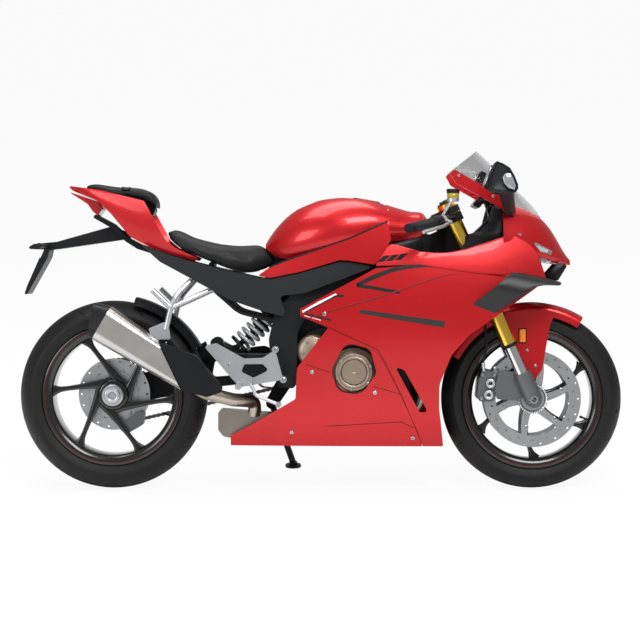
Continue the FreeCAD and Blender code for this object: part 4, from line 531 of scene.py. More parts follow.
chain_steel = new_finish("chain_steel", (0.2, 0.19, 0.17), 0.35, metal=1.0)
fin_grey = new_finish("radiator_fins", (0.03, 0.03, 0.032), 0.5, metal=0.4)
lamp_red = new_finish("lamp_red", (0.5, 0.006, 0.008), 0.12, Coat_Weight=1.0, Transmission_Weight=0.3)
clear_screen = new_finish("clear_screen", (0.99, 0.99, 1.0), 0.02, 0.01, tone=0.01,
                          Transmission_Weight=1.0, IOR=1.12)
lamp_glass = new_finish("lamp_glass", (0.9, 0.93, 0.95), 0.04, 0.01, tone=0.02,
                        Transmission_Weight=0.85, IOR=1.45)

WORN_BY = (
    (candy_red, "fairing_lower fairing_sides front_fender fuel_tank nose_cowl tail_fairing tank_side_panels"),
    (satin_black, "bar_controls dash exhaust_guard handlebars hugger muffler_cap plate_holder"),
    (satin_black, "shock side_stand tail_tray winglets"),
    (bright_alloy, "foot_controls front_spindle levers passenger_hangers rear_hub_nut rear_spindle"),
    (bright_alloy, "rearset_plates"),
    (frame_black, "frame lower_clamp subframe swingarm upper_clamp"),
    (disc_steel, "front_discs front_sprocket rear_disc rear_sprocket"),
    (cast_grey, "fork_feet front_calipers rear_caliper"),
    (dark_grey, "mirrors subframe_covers"), (wheel_black, "front_rim rear_rim"),
    (rubber, "front_tyre rear_tyre"), (leather, "passenger_seat rider_seat"),
    (pipe_steel, "exhaust_collector exhaust_headers"), (brushed_steel, "muffler"), (chain_steel, "chain"),
    (engine_grey, "engine"), (bronze, "engine_covers"), (chrome, "fork_inner_tubes"),
    (gold, "fork_outer_tubes"), (grip_rubber, "grips"), (lamp_glass, "headlamps"), (fin_grey, "radiator"),
    (spring_grey, "shock_spring"), (lamp_red, "tail_lamp"), (clear_screen, "windscreen"),
)
for finish, names in WORN_BY:
    for name in names.split():
        for slot in NODES[name].material_slots:
            slot.material = finish
print("finishes:", len({finish for finish, _ in WORN_BY}))

# %% [markdown]
# A tyre is one closed profile turned about the spindle. The crown is an arc, the wall swells a little beyond
# the rim, and the tread's grooves are pressed in: each groove is a line across the crown that bends
# backwards, and its depth falls off smoothly with the distance from that line.

# %% Tyres with tread
TREAD_DEPTH = 3.2
TREAD_STEPS = 900
GROOVES = 18
FRONT_RIM_HALF = 44.5
REAR_RIM_HALF = 63.5


def tyre(name, centre, radius, width, rise, rim_half, body):
    """Turns a tyre's profile (radius, across) and presses slanted grooves into its crown."""
    half = width / 2 - 2
    crown = (half * half + rise * rise) / (2 * rise)
    swing = math.asin(half / crown)
    lean = np.linspace(swing, -swing, 57)
    tread = np.stack([radius - crown * (1 - np.cos(lean)), crown * np.sin(lean)], axis=1)
    wall = through([[234.6, rim_half + 6], [246, rim_half + 11], [260, half + 1.5], [radius - rise, half]],
                   np.linspace(0, 1, 10))[:-1]
    inner = np.array([[219, rim_half - 3], [233.5, rim_half - 1]])
    side = np.concatenate([inner, wall])
    profile = np.concatenate([side, tread, side[::-1] * [1, -1]])
    turn = np.linspace(0, 2 * math.pi, TREAD_STEPS, endpoint=False)[:, None]
    across = profile[None, :, 1]
    depth = np.zeros((TREAD_STEPS, len(profile)))
    reach = np.abs(across) / half
    for sign, shift in ((1, 0.0), (-1, 0.5)):
        phase = (turn * GROOVES / (2 * math.pi) + shift + 0.55 * reach ** 0.8) % 1.0
        away = np.abs(phase - 0.5) * 2 * math.pi * radius / GROOVES
        on_side = smooth_step(0.10, 0.16, sign * across / half) * (1 - smooth_step(0.82, 0.92, reach))
        depth = np.maximum(depth, on_side * (1 - smooth_step(1.6, 4.2, away)))
    r = profile[None, :, 0] - depth * TREAD_DEPTH
    grid = np.stack([centre[0] + r * np.cos(turn), np.broadcast_to(centre[1] + across, r.shape),
                     centre[2] + r * np.sin(turn)], axis=-1)
    return add_piece(name + "_treaded", closed_grid(grid, True, True), rubber, body, [name])


tyre("front_tyre", FRONT, FRONT_TYRE_RADIUS, 120.0, 36.0, FRONT_RIM_HALF, "front_wheel")
tyre("rear_tyre", REAR, REAR_TYRE_RADIUS, 160.0, 42.0, REAR_RIM_HALF, "rear_wheel")

# %% [markdown]
# A sport seat is firm foam under a grippy cover. Each seat starts as a copy of its CAD solid, remeshed evenly
# and shrunk a little. Cloth with air pressure inside then swells it, so its sides round out and its edges
# soften. No point may move further than a few millimetres. Seams are pressed in afterwards, because a remesh
# would erase them.

# %% Padded seats
SWELL_FRAMES = 20
FOAM_SHRINK = 2.5
FOAM_VOXEL = 0.005


def made_mesh(piece):
    """The piece's mesh with its modifiers worked in, as a new mesh."""
    graph = bpy.context.evaluated_depsgraph_get()
    return bpy.data.meshes.new_from_object(piece.evaluated_get(graph))


def corner_array(mesh, what="co"):
    """All corners of a mesh, or their normals, as rows."""
    values = np.empty(len(mesh.vertices) * 3, dtype=np.float32)
    mesh.vertices.foreach_get(what, values)
    return values.reshape(-1, 3).astype(float)


def merged_copy(node):
    """A new object from a CAD solid whose loose triangles are joined at their corners."""
    mesh = bmesh.new()
    mesh.from_mesh(NODES[node].data)
    bmesh.ops.remove_doubles(mesh, verts=mesh.verts, dist=1e-5)
    data = bpy.data.meshes.new(node + "_foam")
    mesh.to_mesh(data)
    mesh.free()
    piece = bpy.data.objects.new(node + "_foam", data)
    bpy.context.scene.collection.objects.link(piece)
    return piece


def swell(piece, cap):
    """Blows the form up with cloth under pressure, moving no point further than the cap in millimetres."""
    before = corner_array(piece.data)
    cloth = piece.modifiers.new("swell", "CLOTH")
    cloth.settings.quality = 6
    cloth.settings.use_pressure = True
    cloth.settings.uniform_pressure_force = 4.0
    cloth.settings.effector_weights.gravity = 0.0
    cloth.settings.tension_stiffness = 25
    cloth.settings.bending_stiffness = 4
    for frame_number in range(1, SWELL_FRAMES + 1):
        bpy.context.scene.frame_set(frame_number)
    after = corner_array(made_mesh(piece))
    piece.modifiers.clear()
    bpy.context.scene.frame_set(1)
    move = after - before
    far = np.linalg.norm(move, axis=1, keepdims=True)
    move *= np.minimum(1, cap / 1000 / np.maximum(far, 1e-9))
    piece.data.vertices.foreach_set("co", (before + move).astype(np.float32).ravel())


def press_seams(piece, seams, depth=1.6, half=3.0):
    """Pushes the cover in along each seam, a function that gives every point's distance from it."""
    points = upright(corner_array(piece.data))
    slopes = corner_array(piece.data, "normal") @ AXES.T
    push = np.zeros(len(points))
    for seam in seams:
        away = seam(points)
        push = np.maximum(push, depth * np.exp(-(away / half) ** 2))
    points = points - slopes * push[:, None]
    piece.data.vertices.foreach_set("co", stood(points).astype(np.float32).ravel())


def from_line(route):
    """How far each point lies from straight runs, seen from the side."""
    route = np.asarray(route, dtype=float)

    def away(points):
        spot = points[:, [0, 2]]
        best = np.full(len(spot), 1e9)
        for start, end in zip(route[:-1], route[1:]):
            run = end - start
            share = np.clip((spot - start) @ run / (run @ run), 0, 1)
            best = np.minimum(best, np.linalg.norm(spot - start - share[:, None] * run, axis=1))
        return best
    return away


def padded_seat(node, cap, seams):
    """The seat's cushion: remeshed, shrunk, swollen, sewn and smoothed, in its CAD solid's place."""
    piece = merged_copy(node)
    remesh = piece.modifiers.new("even", "REMESH")
    remesh.mode, remesh.voxel_size = "VOXEL", FOAM_VOXEL
    even = made_mesh(piece)
    piece.modifiers.clear()
    piece.data = even
    slopes = corner_array(piece.data, "normal")
    shrunk = corner_array(piece.data) - slopes * FOAM_SHRINK / 1000
    piece.data.vertices.foreach_set("co", shrunk.astype(np.float32).ravel())
    swell(piece, cap)
    relax = piece.modifiers.new("relax", "SMOOTH")
    relax.factor, relax.iterations = 0.5, 6
    piece.data = made_mesh(piece)
    piece.modifiers.clear()
    finer = piece.modifiers.new("finer", "SUBSURF")
    finer.levels = finer.render_levels = 1
    piece.data = made_mesh(piece)
    piece.modifiers.clear()
    piece.data.update()
    press_seams(piece, seams)
    piece.name = node + "_cushion"
    piece.data.materials.clear()
    piece.data.materials.append(leather)
    piece.data.shade_smooth()
    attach(piece, "chassis")
    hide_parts(node)
    print(node, "cushion corners:", len(piece.data.vertices))
    return piece


RIDER_SEAM = [(190, 836), (226, 800), (292, 771), (391, 731), (440, 716), (479, 719), (520, 744), (545, 762)]
PASSENGER_SEAM = [(-90, 996), (30, 984), (110, 946), (126, 930), (150, 896)]
padded_seat("rider_seat", 4.0, [from_line(RIDER_SEAM)])
padded_seat("passenger_seat", 4.0, [from_line(PASSENGER_SEAM)])

# %% [markdown]
# The passenger holds a strap across the small seat. It is a flat band of webbing with two raised edges: a
# grid whose rows cross the seat and whose points are found by lines sent down onto it.

# %% Strap over the passenger's seat


def on_top(places, nodes, start=1400.0):
    """For each (ahead, across): the point where a line from above first meets the nodes."""
    tree = tree_of(nodes)
    starts = stood(np.column_stack([places, np.full(len(places), start)]))
    hits = [tree.ray_cast(Vector(spot), Vector(-UP)) for spot in starts]
    return upright(np.array([hit[0] if hit[0] is not None else spot for hit, spot in zip(hits, starts)]))


def strap(middle, half_width, reach):
    """A band over the seat, thicker at its two hems."""
    across = np.linspace(-reach, reach, 41)
    ahead = middle + half_width * np.array([-1.0, -0.8, -0.62, 0.0, 0.62, 0.8, 1.0])
    rise = np.array([2.2, 4.0, 2.2, 2.0, 2.2, 4.0, 2.2])
    places = np.stack(np.meshgrid(ahead, across, indexing="xy"), axis=-1)
    ground = on_top(places.reshape(-1, 2), ("passenger_seat",)).reshape(41, 7, 3)
    top = ground + np.array([0, 0, 1.0]) * rise[None, :, None]
    under = ground - np.array([0, 0, 3.0])
    return closed_grid(np.concatenate([top, under[:, ::-1]], axis=1), False, True)


add_piece("passenger_strap", strap(46.0, 14.0, 88.0), leather, "chassis")

# %% [markdown]
# The bodywork's skins are one family: at each place along the machine a half width, a low edge and a high
# edge are given, and a flank curve says how the width changes with height. So the skin's distance from the
# middle is a function of (ahead, up), and a panel is the part of it between an upper and a lower line.

# %% Skins as functions
FAIRING_SKIN = [(750, 190, 152, 860), (930, 205, 146, 860), (1100, 212, 146, 860), (1260, 204, 146, 860),
                (1440, 158, 146, 860)]
FAIRING_FLANK = [(0.5, 0.0), (0.7, 0.1), (0.88, 0.33), (1.0, 0.62), (0.96, 0.82), (0.8, 1.0)]
TANK_SKIN = [(905, 148, 816, 942), (978, 121, 824, 921), (1022, 106, 836, 916), (1040, 92, 846, 898)]
TANK_FLANK = [(0.86, 0.0), (1.0, 0.3), (0.96, 0.58), (0.76, 0.86), (0.46, 1.0)]


def skin_half(stations, flank, ahead, up):
    """How far a skin lies from the middle plane at each place: flank share times half width."""
    stations = through(stations, np.linspace(0, 1, 120))
    half, low, high = (np.interp(ahead, stations[:, 0], stations[:, i]) for i in (1, 2, 3))
    share = np.linspace(0, 1, 60)
    curve = through(flank, share)
    return half * np.interp((up - low) / (high - low), curve[:, 1], curve[:, 0])


def skin_panel(top, low, ends, stations, flank, side, lift=1.0, wall=3.0, steps=90):
    """A panel of a skin between two lines (ahead, up), with its thickness inwards."""
    ahead = np.linspace(*ends, steps)
    top, low = np.asarray(top, dtype=float), np.asarray(low, dtype=float)
    high_line, low_line = np.interp(ahead, *top.T), np.interp(ahead, *low.T)
    share = np.linspace(0, 1, 20)[None, :]
    up = low_line[:, None] + share * (high_line - low_line)[:, None]
    along = np.broadcast_to(ahead[:, None], up.shape)
    y = skin_half(stations, flank, along, up) + lift
    outer = np.stack([along, side * y, up], axis=-1)
    inner = np.stack([along, side * (y - wall - lift), up], axis=-1)
    return closed_grid(np.concatenate([outer, inner[:, ::-1]], axis=1), False, True)


def hull_form(stations, flank, steps=30):
    """A closed form of a skin's whole sections, right flank up and left flank down."""
    stations = np.asarray(stations, dtype=float)
    place = through(stations, np.linspace(0, 1, steps))
    curve = through(flank, np.linspace(0, 1, 24))
    section = np.concatenate([curve * [-1, 1], curve[::-1]])
    y = section[None, :, 0] * place[:, 1:2]
    z = place[:, 2:3] + section[None, :, 1] * (place[:, 3:4] - place[:, 2:3])
    return closed_grid(np.stack([np.broadcast_to(place[:, :1], y.shape), y, z], axis=-1), False, True)


# %% [markdown]
# The upper fairing panel runs from the louvres to the lamp and closes the side below the screen. The tank's
# front reaches past the steering head, a black cover fills the room below it, and black inner cheeks stand
# beside the fork.

# %% Upper fairing, tank front and cheeks
UPPER_TOP = [(869, 742), (885, 770), (905, 800), (917, 810), (940, 808), (1011, 787), (1060, 782),
             (1109, 784), (1160, 794), (1206, 809), (1307, 842), (1330, 838), (1366, 818), (1384, 800),
             (1399, 774), (1412, 740), (1424, 703)]
UPPER_LOW = [(869, 740), (1011, 744), (1141, 724), (1287, 706), (1310, 716), (1424, 700)]


def upper(side):
    """The upper fairing panel of one side, 2 mm proud of the skin."""
    return skin_panel(UPPER_TOP, UPPER_LOW, (869, 1424), FAIRING_SKIN, FAIRING_FLANK, side, 2.0)


add_piece("fairing_uppers", both(upper), candy_red, "chassis")
add_piece("tank_front", hull_form(TANK_SKIN, TANK_FLANK), candy_red, "chassis")
COVER_SKIN = [(560, 96, 700, 762), (700, 120, 690, 800), (860, 126, 700, 812), (980, 112, 740, 832),
              (1046, 84, 770, 846)]
BOX_FLANK = [(0.9, 0.0), (1.0, 0.2), (1.0, 0.8), (0.9, 1.0)]
add_piece("airbox_cover", hull_form(COVER_SKIN, BOX_FLANK), satin_black, "chassis")
CHEEK_TOP = [(1150, 800), (1182, 846), (1206, 852), (1236, 880), (1250, 936), (1280, 930), (1310, 880),
             (1325, 850)]
CHEEK_LOW = [(1150, 770), (1216, 790), (1290, 810), (1325, 818)]


def cheek(side):
    """A black inner panel between the fork and the fairing's side."""
    ahead = np.linspace(1150, 1325, 60)
    high = np.interp(ahead, *np.array(CHEEK_TOP, float).T)
    low = np.interp(ahead, *np.array(CHEEK_LOW, float).T)
    outline = np.concatenate([np.column_stack([ahead, low]), np.column_stack([ahead, high])[::-1]])
    return side_plate(outline, 139.0, 142.0, side, 0.6)


add_piece("inner_cheeks", both(cheek), satin_black, "chassis")

# %% [markdown]
# The winglet is one bent blade. Across the machine it runs out from the chin, bends down over a crest and
# comes back to the fairing's side. Along the machine it slopes down forwards, and both its ends are slanted,
# so the rows of the grid follow the bend and the columns run from the rear edge to the front edge.

# %% Winglets
WING_BEND = [(-70, 721), (-140, 720), (-196, 718.5), (-224, 709), (-241, 685), (-247, 655), (-234, 622),
             (-213, 586), (-197, 558)]
WING_HALF_THICK = 2.2
WING_START, WING_RISE, WING_SLOPE = 1130.0, 47.0, 0.235
WING_REAR = [(558, 1160), (712, 1306), (717, 1322), (722, 1334)]
WING_FRONT = [(554, 1237), (684, 1382), (697, 1412), (708, 1464), (722, 1472)]


def winglet(side):
    """The blade: its bend gives (across, up), its two slanted ends give where each row starts and stops."""
    bend = through(WING_BEND, np.linspace(0, 1, 50))
    rear, front = (np.interp(bend[:, 1], *np.array(line, float).T) for line in (WING_REAR, WING_FRONT))
    share = np.linspace(0, 1, 30)[None, :]
    ahead = rear[:, None] + share * (front - rear)[:, None]
    up = bend[:, 1:2] + WING_RISE - WING_SLOPE * (ahead - WING_START)
    out = np.gradient(bend, axis=0)
    out = np.column_stack([out[:, 1], -out[:, 0]]) / np.linalg.norm(out, axis=1, keepdims=True)
    rim = 1 - 0.75 * np.abs(2 * share - 1) ** 6
    layers = []
    for sign in (1, -1):
        y = bend[:, :1] - sign * WING_HALF_THICK * rim * out[:, :1]
        z = up - sign * WING_HALF_THICK * rim * out[:, 1:]
        layer = np.stack([ahead, -side * np.broadcast_to(y, ahead.shape), z], axis=-1)
        layers.append(layer if sign > 0 else layer[:, ::-1])
    return closed_grid(np.concatenate(layers, axis=1), False, True)


add_piece("winglet_blades", both(winglet), wing_black, "chassis", ["winglets"])
STRUT = [(1426, 700), (1442, 690), (1474, 692), (1502, 738), (1496, 748), (1470, 748), (1452, 728)]
struts = both(lambda side: side_plate(STRUT, 64.0, 74.0, side, 1.5))
add_piece("chin_struts", struts, satin_black, "chassis")

# %% [markdown]
# The fairing's stripes are bands of paint: a long black arc that thins out forwards, its lower leg, a
# grey-black bar that widens forwards, and a white flash with thin black lines at the rear corner. Each is a
# strip on the skin, made for both sides.

# %% Stripes on the fairing
SIDE_PANELS = ("fairing_sides",)
FAIRING = ("fairing_sides", "fairing_lower")


def stripes(routes, nodes=SIDE_PANELS, **shape):
    """Strips for each (route, widths), on both sides."""
    return [strip(route, widths, nodes, side, **shape) for route, widths in routes for side in (-1, 1)]


ARC = ([(806, 677), (860, 703), (925, 727), (988, 738), (1060, 739), (1150, 725)], [12, 15, 14, 12, 7, 1.5])
ARC_LEG = ([(806, 677), (946, 654)], [12, 10])
CORNER_LINES = [([(636, 588), (736, 641), (764, 643)], [5, 5, 9]), ([(640, 584), (723, 563)], [6, 6])]
BAR = ([(816, 592), (1091, 550)], [13, 21])
WHITE_FLASH = [([(630, 590), (680, 618), (740, 648)], [7, 8, 6]), ([(636, 578), (690, 563)], [2, 2])]
black_bands = stripes([ARC], curved=True) + stripes([ARC_LEG] + CORNER_LINES)
add_piece("stripes_black", black_bands, black_paint, "chassis", smooth=False)
add_piece("stripe_bar", stripes([BAR]), grey_paint, "chassis", smooth=False)
add_piece("stripes_white", stripes(WHITE_FLASH), white_paint, "chassis", smooth=False)

# %% [markdown]
# Panels meet at thin dark gaps, and quarter-turn screws hold them. The side panel's upper layer stands proud
# along one long line; the shade under its edge is painted on as a dark red band.

# %% Seams and screws of the bodywork
SEAMS = [
    [(716, 539), (874, 468), (900, 423), (952, 319), (1020, 160)],
    [(640, 419), (721, 391)],
    [(862, 347), (950, 321)],
    [(708, 214), (952, 230), (994, 209)],
]
seam_bands = stripes([(seam, [1.8, 1.8]) for seam in SEAMS], FAIRING, lift=0.25)
add_piece("fairing_seams", seam_bands, black_and_painted_shade, "chassis", smooth=False)
# Painted shade: a dark red band along the upper layer's edge stands in for the shadow under it.
LAYER_SHADE_LINE = [(640, 566), (736, 597), (881, 639), (1011, 684), (1090, 708), (1150, 714)]
layer_shade_bands = stripes([(LAYER_SHADE_LINE, [2.5, 4.5, 4.5, 2.0])], lift=0.9, curved=True)
add_piece("fairing_layer_painted_shade", layer_shade_bands, pinstripe_and_painted_shade, "chassis")

PANEL_SCREWS = [(702, 584), (661, 394), (866, 327), (594, 194), (991, 177)]
NOSE_SCREWS = [(1141, 1036), (1254, 968), (1340, 842)]
body_screws = screws_both(PANEL_SCREWS, FAIRING, 7.0) + screws_both(NOSE_SCREWS, ("nose_cowl",), 5.0)
add_piece("bodywork_screws", body_screws, screw_steel, "chassis", smooth=False)

# %% [markdown]
# The brakes: each disc hangs on six bobbins, a toothed ring beside the hub counts the turns, and each caliper
# has three bolts and two ringed piston caps. The hoses run up behind the fork's legs in soft curves and end
# there. Each rim carries a rubber valve.

# %% Brakes, hoses and wheel bolts
DISC_FACE = 61.0
BOBBIN_CIRCLE = 98.0
BOBBIN_START = 17
TOOTH_DEPTH = 5.5
front_bobbins = [screw(place, (0, side, 0), 8.0, 4.0, 0.45) for side in (-1, 1)
                 for place in spaced(6, BOBBIN_CIRCLE, FRONT, side * DISC_FACE, BOBBIN_START)]


def toothed_ring(centre, inner, outer, low, high, teeth):
    """A flat ring whose rim steps in and out: the radius is a soft square wave of the turn."""
    turn = np.linspace(0, 2 * math.pi, teeth * 8, endpoint=False)
    wave = smooth_step(-0.25, 0.25, np.sin(turn * teeth))
    edge = outer - TOOTH_DEPTH * (1 - wave)
    rings = []
    for radius, y in ((inner, low), (edge, low), (edge, high), (inner, high)):
        ahead = centre[0] + radius * np.cos(turn)
        rings.append(np.stack([ahead, np.full(turn.shape, y), centre[2] + radius * np.sin(turn)], axis=-1))
    return closed_grid(np.stack(rings), True, True)


front_ring = toothed_ring(FRONT, 40, 52, -66.5, -64.5, 40)
rear_ring = toothed_ring(REAR, 64, 74, -9.5, -7.5, 40)
add_piece("front_disc_bobbins", front_bobbins, screw_steel, "front_wheel", smooth=False)
add_piece("front_speed_ring", front_ring, disc_steel, "front_wheel")
add_piece("rear_speed_ring", rear_ring, disc_steel, "rear_wheel")
sprocket_nuts = [screw(place, ACROSS, 7.5, 8.0, 0.6) for place in spaced(6, 72, REAR, 137.0, 30)]
rear_disc_bolts = [screw(place, (0, -1, 0), 5.5, 4.0) for place in spaced(6, 82, REAR, -6.0, 10)]
wheel_bolts = sprocket_nuts + rear_disc_bolts
add_piece("rear_wheel_bolts", wheel_bolts, screw_steel, "rear_wheel", smooth=False)
NUT_RING = [(0, 12), (0, 24), (-3, 26), (-6, 26), (-8, 24), (-8, 14), (-2, 12)]
nut_ring = turned(NUT_RING, REAR - [0, 75, 0], ACROSS, 48, True)
add_piece("rear_nut_ring", nut_ring, bright_alloy, "rear_wheel")
VALVE_STEM = [(0, 4.5), (4, 4.5), (6, 3.2), (20, 3.2), (21, 4.2), (30, 4.2), (31, 3)]
VALVE_WAY = np.array([0.93, 0.0, -0.36])
VALVE_RADIUS = 205.0
for name, centre, body in (("front_valve", FRONT, "front_wheel"), ("rear_valve", REAR, "rear_wheel")):
    foot = centre + VALVE_WAY * VALVE_RADIUS - [0, 6, 0]
    add_piece(name, turned(VALVE_STEM, foot, -VALVE_WAY, 20), black_and_painted_shade, body)

CALIPER_FACE = 81.7
caliper_trim, caliper_bolts = [], []
for side in (-1, 1):
    for ahead, up in ((1249, 352), (1243, 314)):
        caliper_trim.append(turned([(0, 6), (0, 14.5), (1.6, 15.5), (3, 14.5), (3, 7)],
                                   (ahead, side * (CALIPER_FACE + 7.4), up), (0, side, 0), 40, True))
    for ahead, up in ((1222, 381), (1219, 303), (1262, 378)):
        caliper_bolts.append(screw((ahead, side * CALIPER_FACE, up), (0, side, 0), 6.5, 7.0))
add_piece("caliper_rings", caliper_trim, bright_alloy, "steering")
add_piece("caliper_bolts", caliper_bolts, screw_steel, "steering", smooth=False)

HOSE = [(1228, 389, 72), (1224, 420, 84), (1234, 470, 96), (1232, 530, 98), (1226, 580, 92), (1214, 622, 84),
        (1202, 660, 78), (1192, 690, 76)]
hoses, fittings = [], []
for side in (-1, 1):
    route = [(x, side * y, z) for x, z, y in HOSE]
    hoses.append(tube(route, 4.0, 90, 10))
    fittings.append(tube(route[:2], 6.2, 8, 16))
    fittings.append(turned([(0, 0.1), (0, 8), (9, 8), (10, 6), (10, 0.1)], (1228, side * 66, 389),
                           (0, side, 0), 24))
add_piece("front_brake_hoses", hoses, hose_rubber, "steering")
add_piece("hose_fittings", fittings, bright_alloy, "steering")

# %% [markdown]
# Each wheel is one casting: a turned rim with flanges and a well, a turned hub, and six thin blades. A blade
# is a rounded section swept from the hub to the rim: its width narrows outwards, and near the rim it flares
# into a foot.

# %% Wheels
RIM_BARREL, RIM_SEAT, RIM_FLANGE = 200.0, 218.0, 232.0
BLADE_END = 203


def rim(half, centre):
    """The rim's turned ring: flange, bead seat, well and barrel, closed on itself."""
    edge = half + 7.0
    one_side = [(half - 22, 205), (half - 16, RIM_SEAT), (half, RIM_SEAT), (half, RIM_FLANGE - 1),
                (half + 1, RIM_FLANGE), (edge - 1, RIM_FLANGE), (edge, RIM_FLANGE - 1.5),
                (edge - 0.5, RIM_SEAT - 4), (half - 2, 204), (half - 6, RIM_BARREL),
                (half - 12, RIM_BARREL - 1)]
    other = [(-place, radius) for place, radius in reversed(one_side)]
    return turned(one_side + other, centre, ACROSS, 144, True)


def blade(start, end, bow, widths, middle, half_deep, steps=40):
    """A spoke from (ahead, up) to (ahead, up), bowed sideways, with a width for each share of its length."""
    start, end = np.asarray(start, dtype=float), np.asarray(end, dtype=float)
    share = np.linspace(0, 1, steps)
    run = end - start
    aside = np.array([-run[1], run[0]]) / np.linalg.norm(run)
    line = start + share[:, None] * run + (4 * share * (1 - share) * bow)[:, None] * aside
    way = np.gradient(line, axis=0)
    way /= np.linalg.norm(way, axis=1, keepdims=True)
    across = np.column_stack([-way[:, 1], way[:, 0]])
    half = through(np.array(widths)[:, None], share)[:, 0] / 2
    turn = np.linspace(0, 2 * math.pi, 24, endpoint=False)
    round_x = np.sign(np.cos(turn)) * np.abs(np.cos(turn)) ** 0.55
    round_y = np.sign(np.sin(turn)) * np.abs(np.sin(turn)) ** 0.55
    flat = line[:, None] + half[:, None, None] * round_x[None, :, None] * across[:, None]
    y = np.broadcast_to(middle + half_deep * round_y, flat.shape[:2])
    return closed_grid(np.stack([flat[..., 0], y, flat[..., 1]], axis=-1), False, True)


def wheel_place(centre, radius, angle):
    """A place (ahead, up) at an angle round a wheel's centre, in degrees seen from the right."""
    turn = math.radians(angle)
    return np.array([centre[0] + radius * math.cos(turn), centre[2] + radius * math.sin(turn)])


FRONT_HUB = [(-50, 13), (-50, 28), (-48, 30), (-40, 34), (-20, 31), (20, 31), (40, 34), (48, 30), (50, 28),
             (50, 13)]
FRONT_WIDTHS = [44, 34, 24, 18, 15, 14, 15, 20, 42]
DISC_POST = [(-55, 1), (-55, 9), (55, 9), (55, 1)]
front_parts = [rim(FRONT_RIM_HALF, FRONT), turned(FRONT_HUB, FRONT, ACROSS, 72, True)]
for turn in range(0, 360, 60):
    start, end = wheel_place(FRONT, 26, turn + 2), wheel_place(FRONT, BLADE_END, turn + 33)
    front_parts.append(blade(start, end, -16, FRONT_WIDTHS, 0, 12.5))
    post = wheel_place(FRONT, BOBBIN_CIRCLE, turn + BOBBIN_START)
    front_parts.append(turned(DISC_POST, (post[0], 0, post[1]), ACROSS, 24))
add_piece("front_wheel_casting", front_parts, wheel_black, "front_wheel", ["front_rim"])

REAR_HUB = [(-58, 26), (-58, 44), (-55, 49), (-48, 53), (-14, 53), (-12, 51), (-12, 26)]
REAR_WIDTHS = [42, 34, 28, 23, 19, 17, 16, 21, 42]
rear_parts = [rim(REAR_RIM_HALF, REAR), turned(REAR_HUB, REAR, ACROSS, 96, True)]
for turn in range(0, 360, 60):
    start, end = wheel_place(REAR, 41.34, turn - 23), wheel_place(REAR, BLADE_END, turn + 56)
    rear_parts.append(blade(start, end, 0, REAR_WIDTHS, -39, 10.5))
add_piece("rear_wheel_casting", rear_parts, wheel_black, "rear_wheel", ["rear_rim"])
for name, centre, edge, body in (("front_pin_lines", FRONT, 52.0, "front_wheel"),
                                 ("rear_pin_lines", REAR, 71.0, "rear_wheel")):
    low, high = edge - 0.6, edge + 0.05
    lines = []
    for side in (-1, 1):
        square = [(side * low, 222.5), (side * high, 222.5), (side * high, 223.6), (side * low, 223.6)]
        lines.append(turned(square, centre, ACROSS, 144, True))
    add_piece(name, lines, pinstripe_and_painted_shade, body)

# %% [markdown]
# A mirror is a moulded shell on a wedge-shaped stalk. The shell is an outline drawn out across the machine,
# whose two ends run in to a shallow hollow; the stalk is a loft between the nose and the shell.

# %% Mirror shells
SHELL = [(1247, 1071), (1268, 1062), (1288, 1049), (1302, 1024), (1313, 996), (1313, 983), (1306, 973),
         (1297, 970), (1270, 970), (1241, 973), (1229, 979), (1222, 989), (1223, 1010), (1227, 1034),
         (1237, 1056)]
SHELL_INNER, SHELL_OUTER, SHELL_HOLLOW = 262.0, 391.5, 11.0
STALK_ROOT = [(1300, 894), (1322, 893), (1328, 908), (1330, 926), (1312, 938), (1288, 940)]
STALK_TOP = [(1258, 972), (1304, 976), (1308, 988), (1304, 1000), (1280, 1000), (1256, 998)]


def mirror_shell(side):
    """Rings of the outline across the machine; at each end they run in, along a slanted rim, to a hollow."""
    edge = run_along(SHELL + SHELL[:1], np.linspace(0, 1, 72))[:-1]
    middle = edge.mean(axis=0)
    far = np.linalg.norm(edge - middle, axis=1, keepdims=True)
    insets = SHELL_HOLLOW * (1 - np.sin(np.linspace(0, math.pi / 2, 7)))
    levels = list(zip(SHELL_INNER + insets, insets)) + list(zip(SHELL_OUTER - insets, insets))[::-1]
    rings = []
    for y, inset in levels:
        ring = middle + (edge - middle) * (far - inset) / far
        rings.append(np.column_stack([ring[:, 0], np.full(len(edge), side * y), ring[:, 1]]))
    return closed_grid(np.stack(rings), False, True)


def mirror_stalk(side):
    """A loft from the nose's side up to the shell."""
    share = np.linspace(0, 1, 14)[:, None, None]
    root = run_along(STALK_ROOT + STALK_ROOT[:1], np.linspace(0, 1, 37))[:-1][None]
    top = run_along(STALK_TOP + STALK_TOP[:1], np.linspace(0, 1, 37))[:-1][None]
    flat = root + (top - root) * share
    y = np.broadcast_to(side * (118 + (300 - 118) * share[..., 0]), flat.shape[:2])
    return closed_grid(np.stack([flat[..., 0], y, flat[..., 1]], axis=-1), False, True)


shells = both(mirror_shell) + both(mirror_stalk)
add_piece("mirror_shells", shells, dark_grey, "chassis", ["mirrors"])
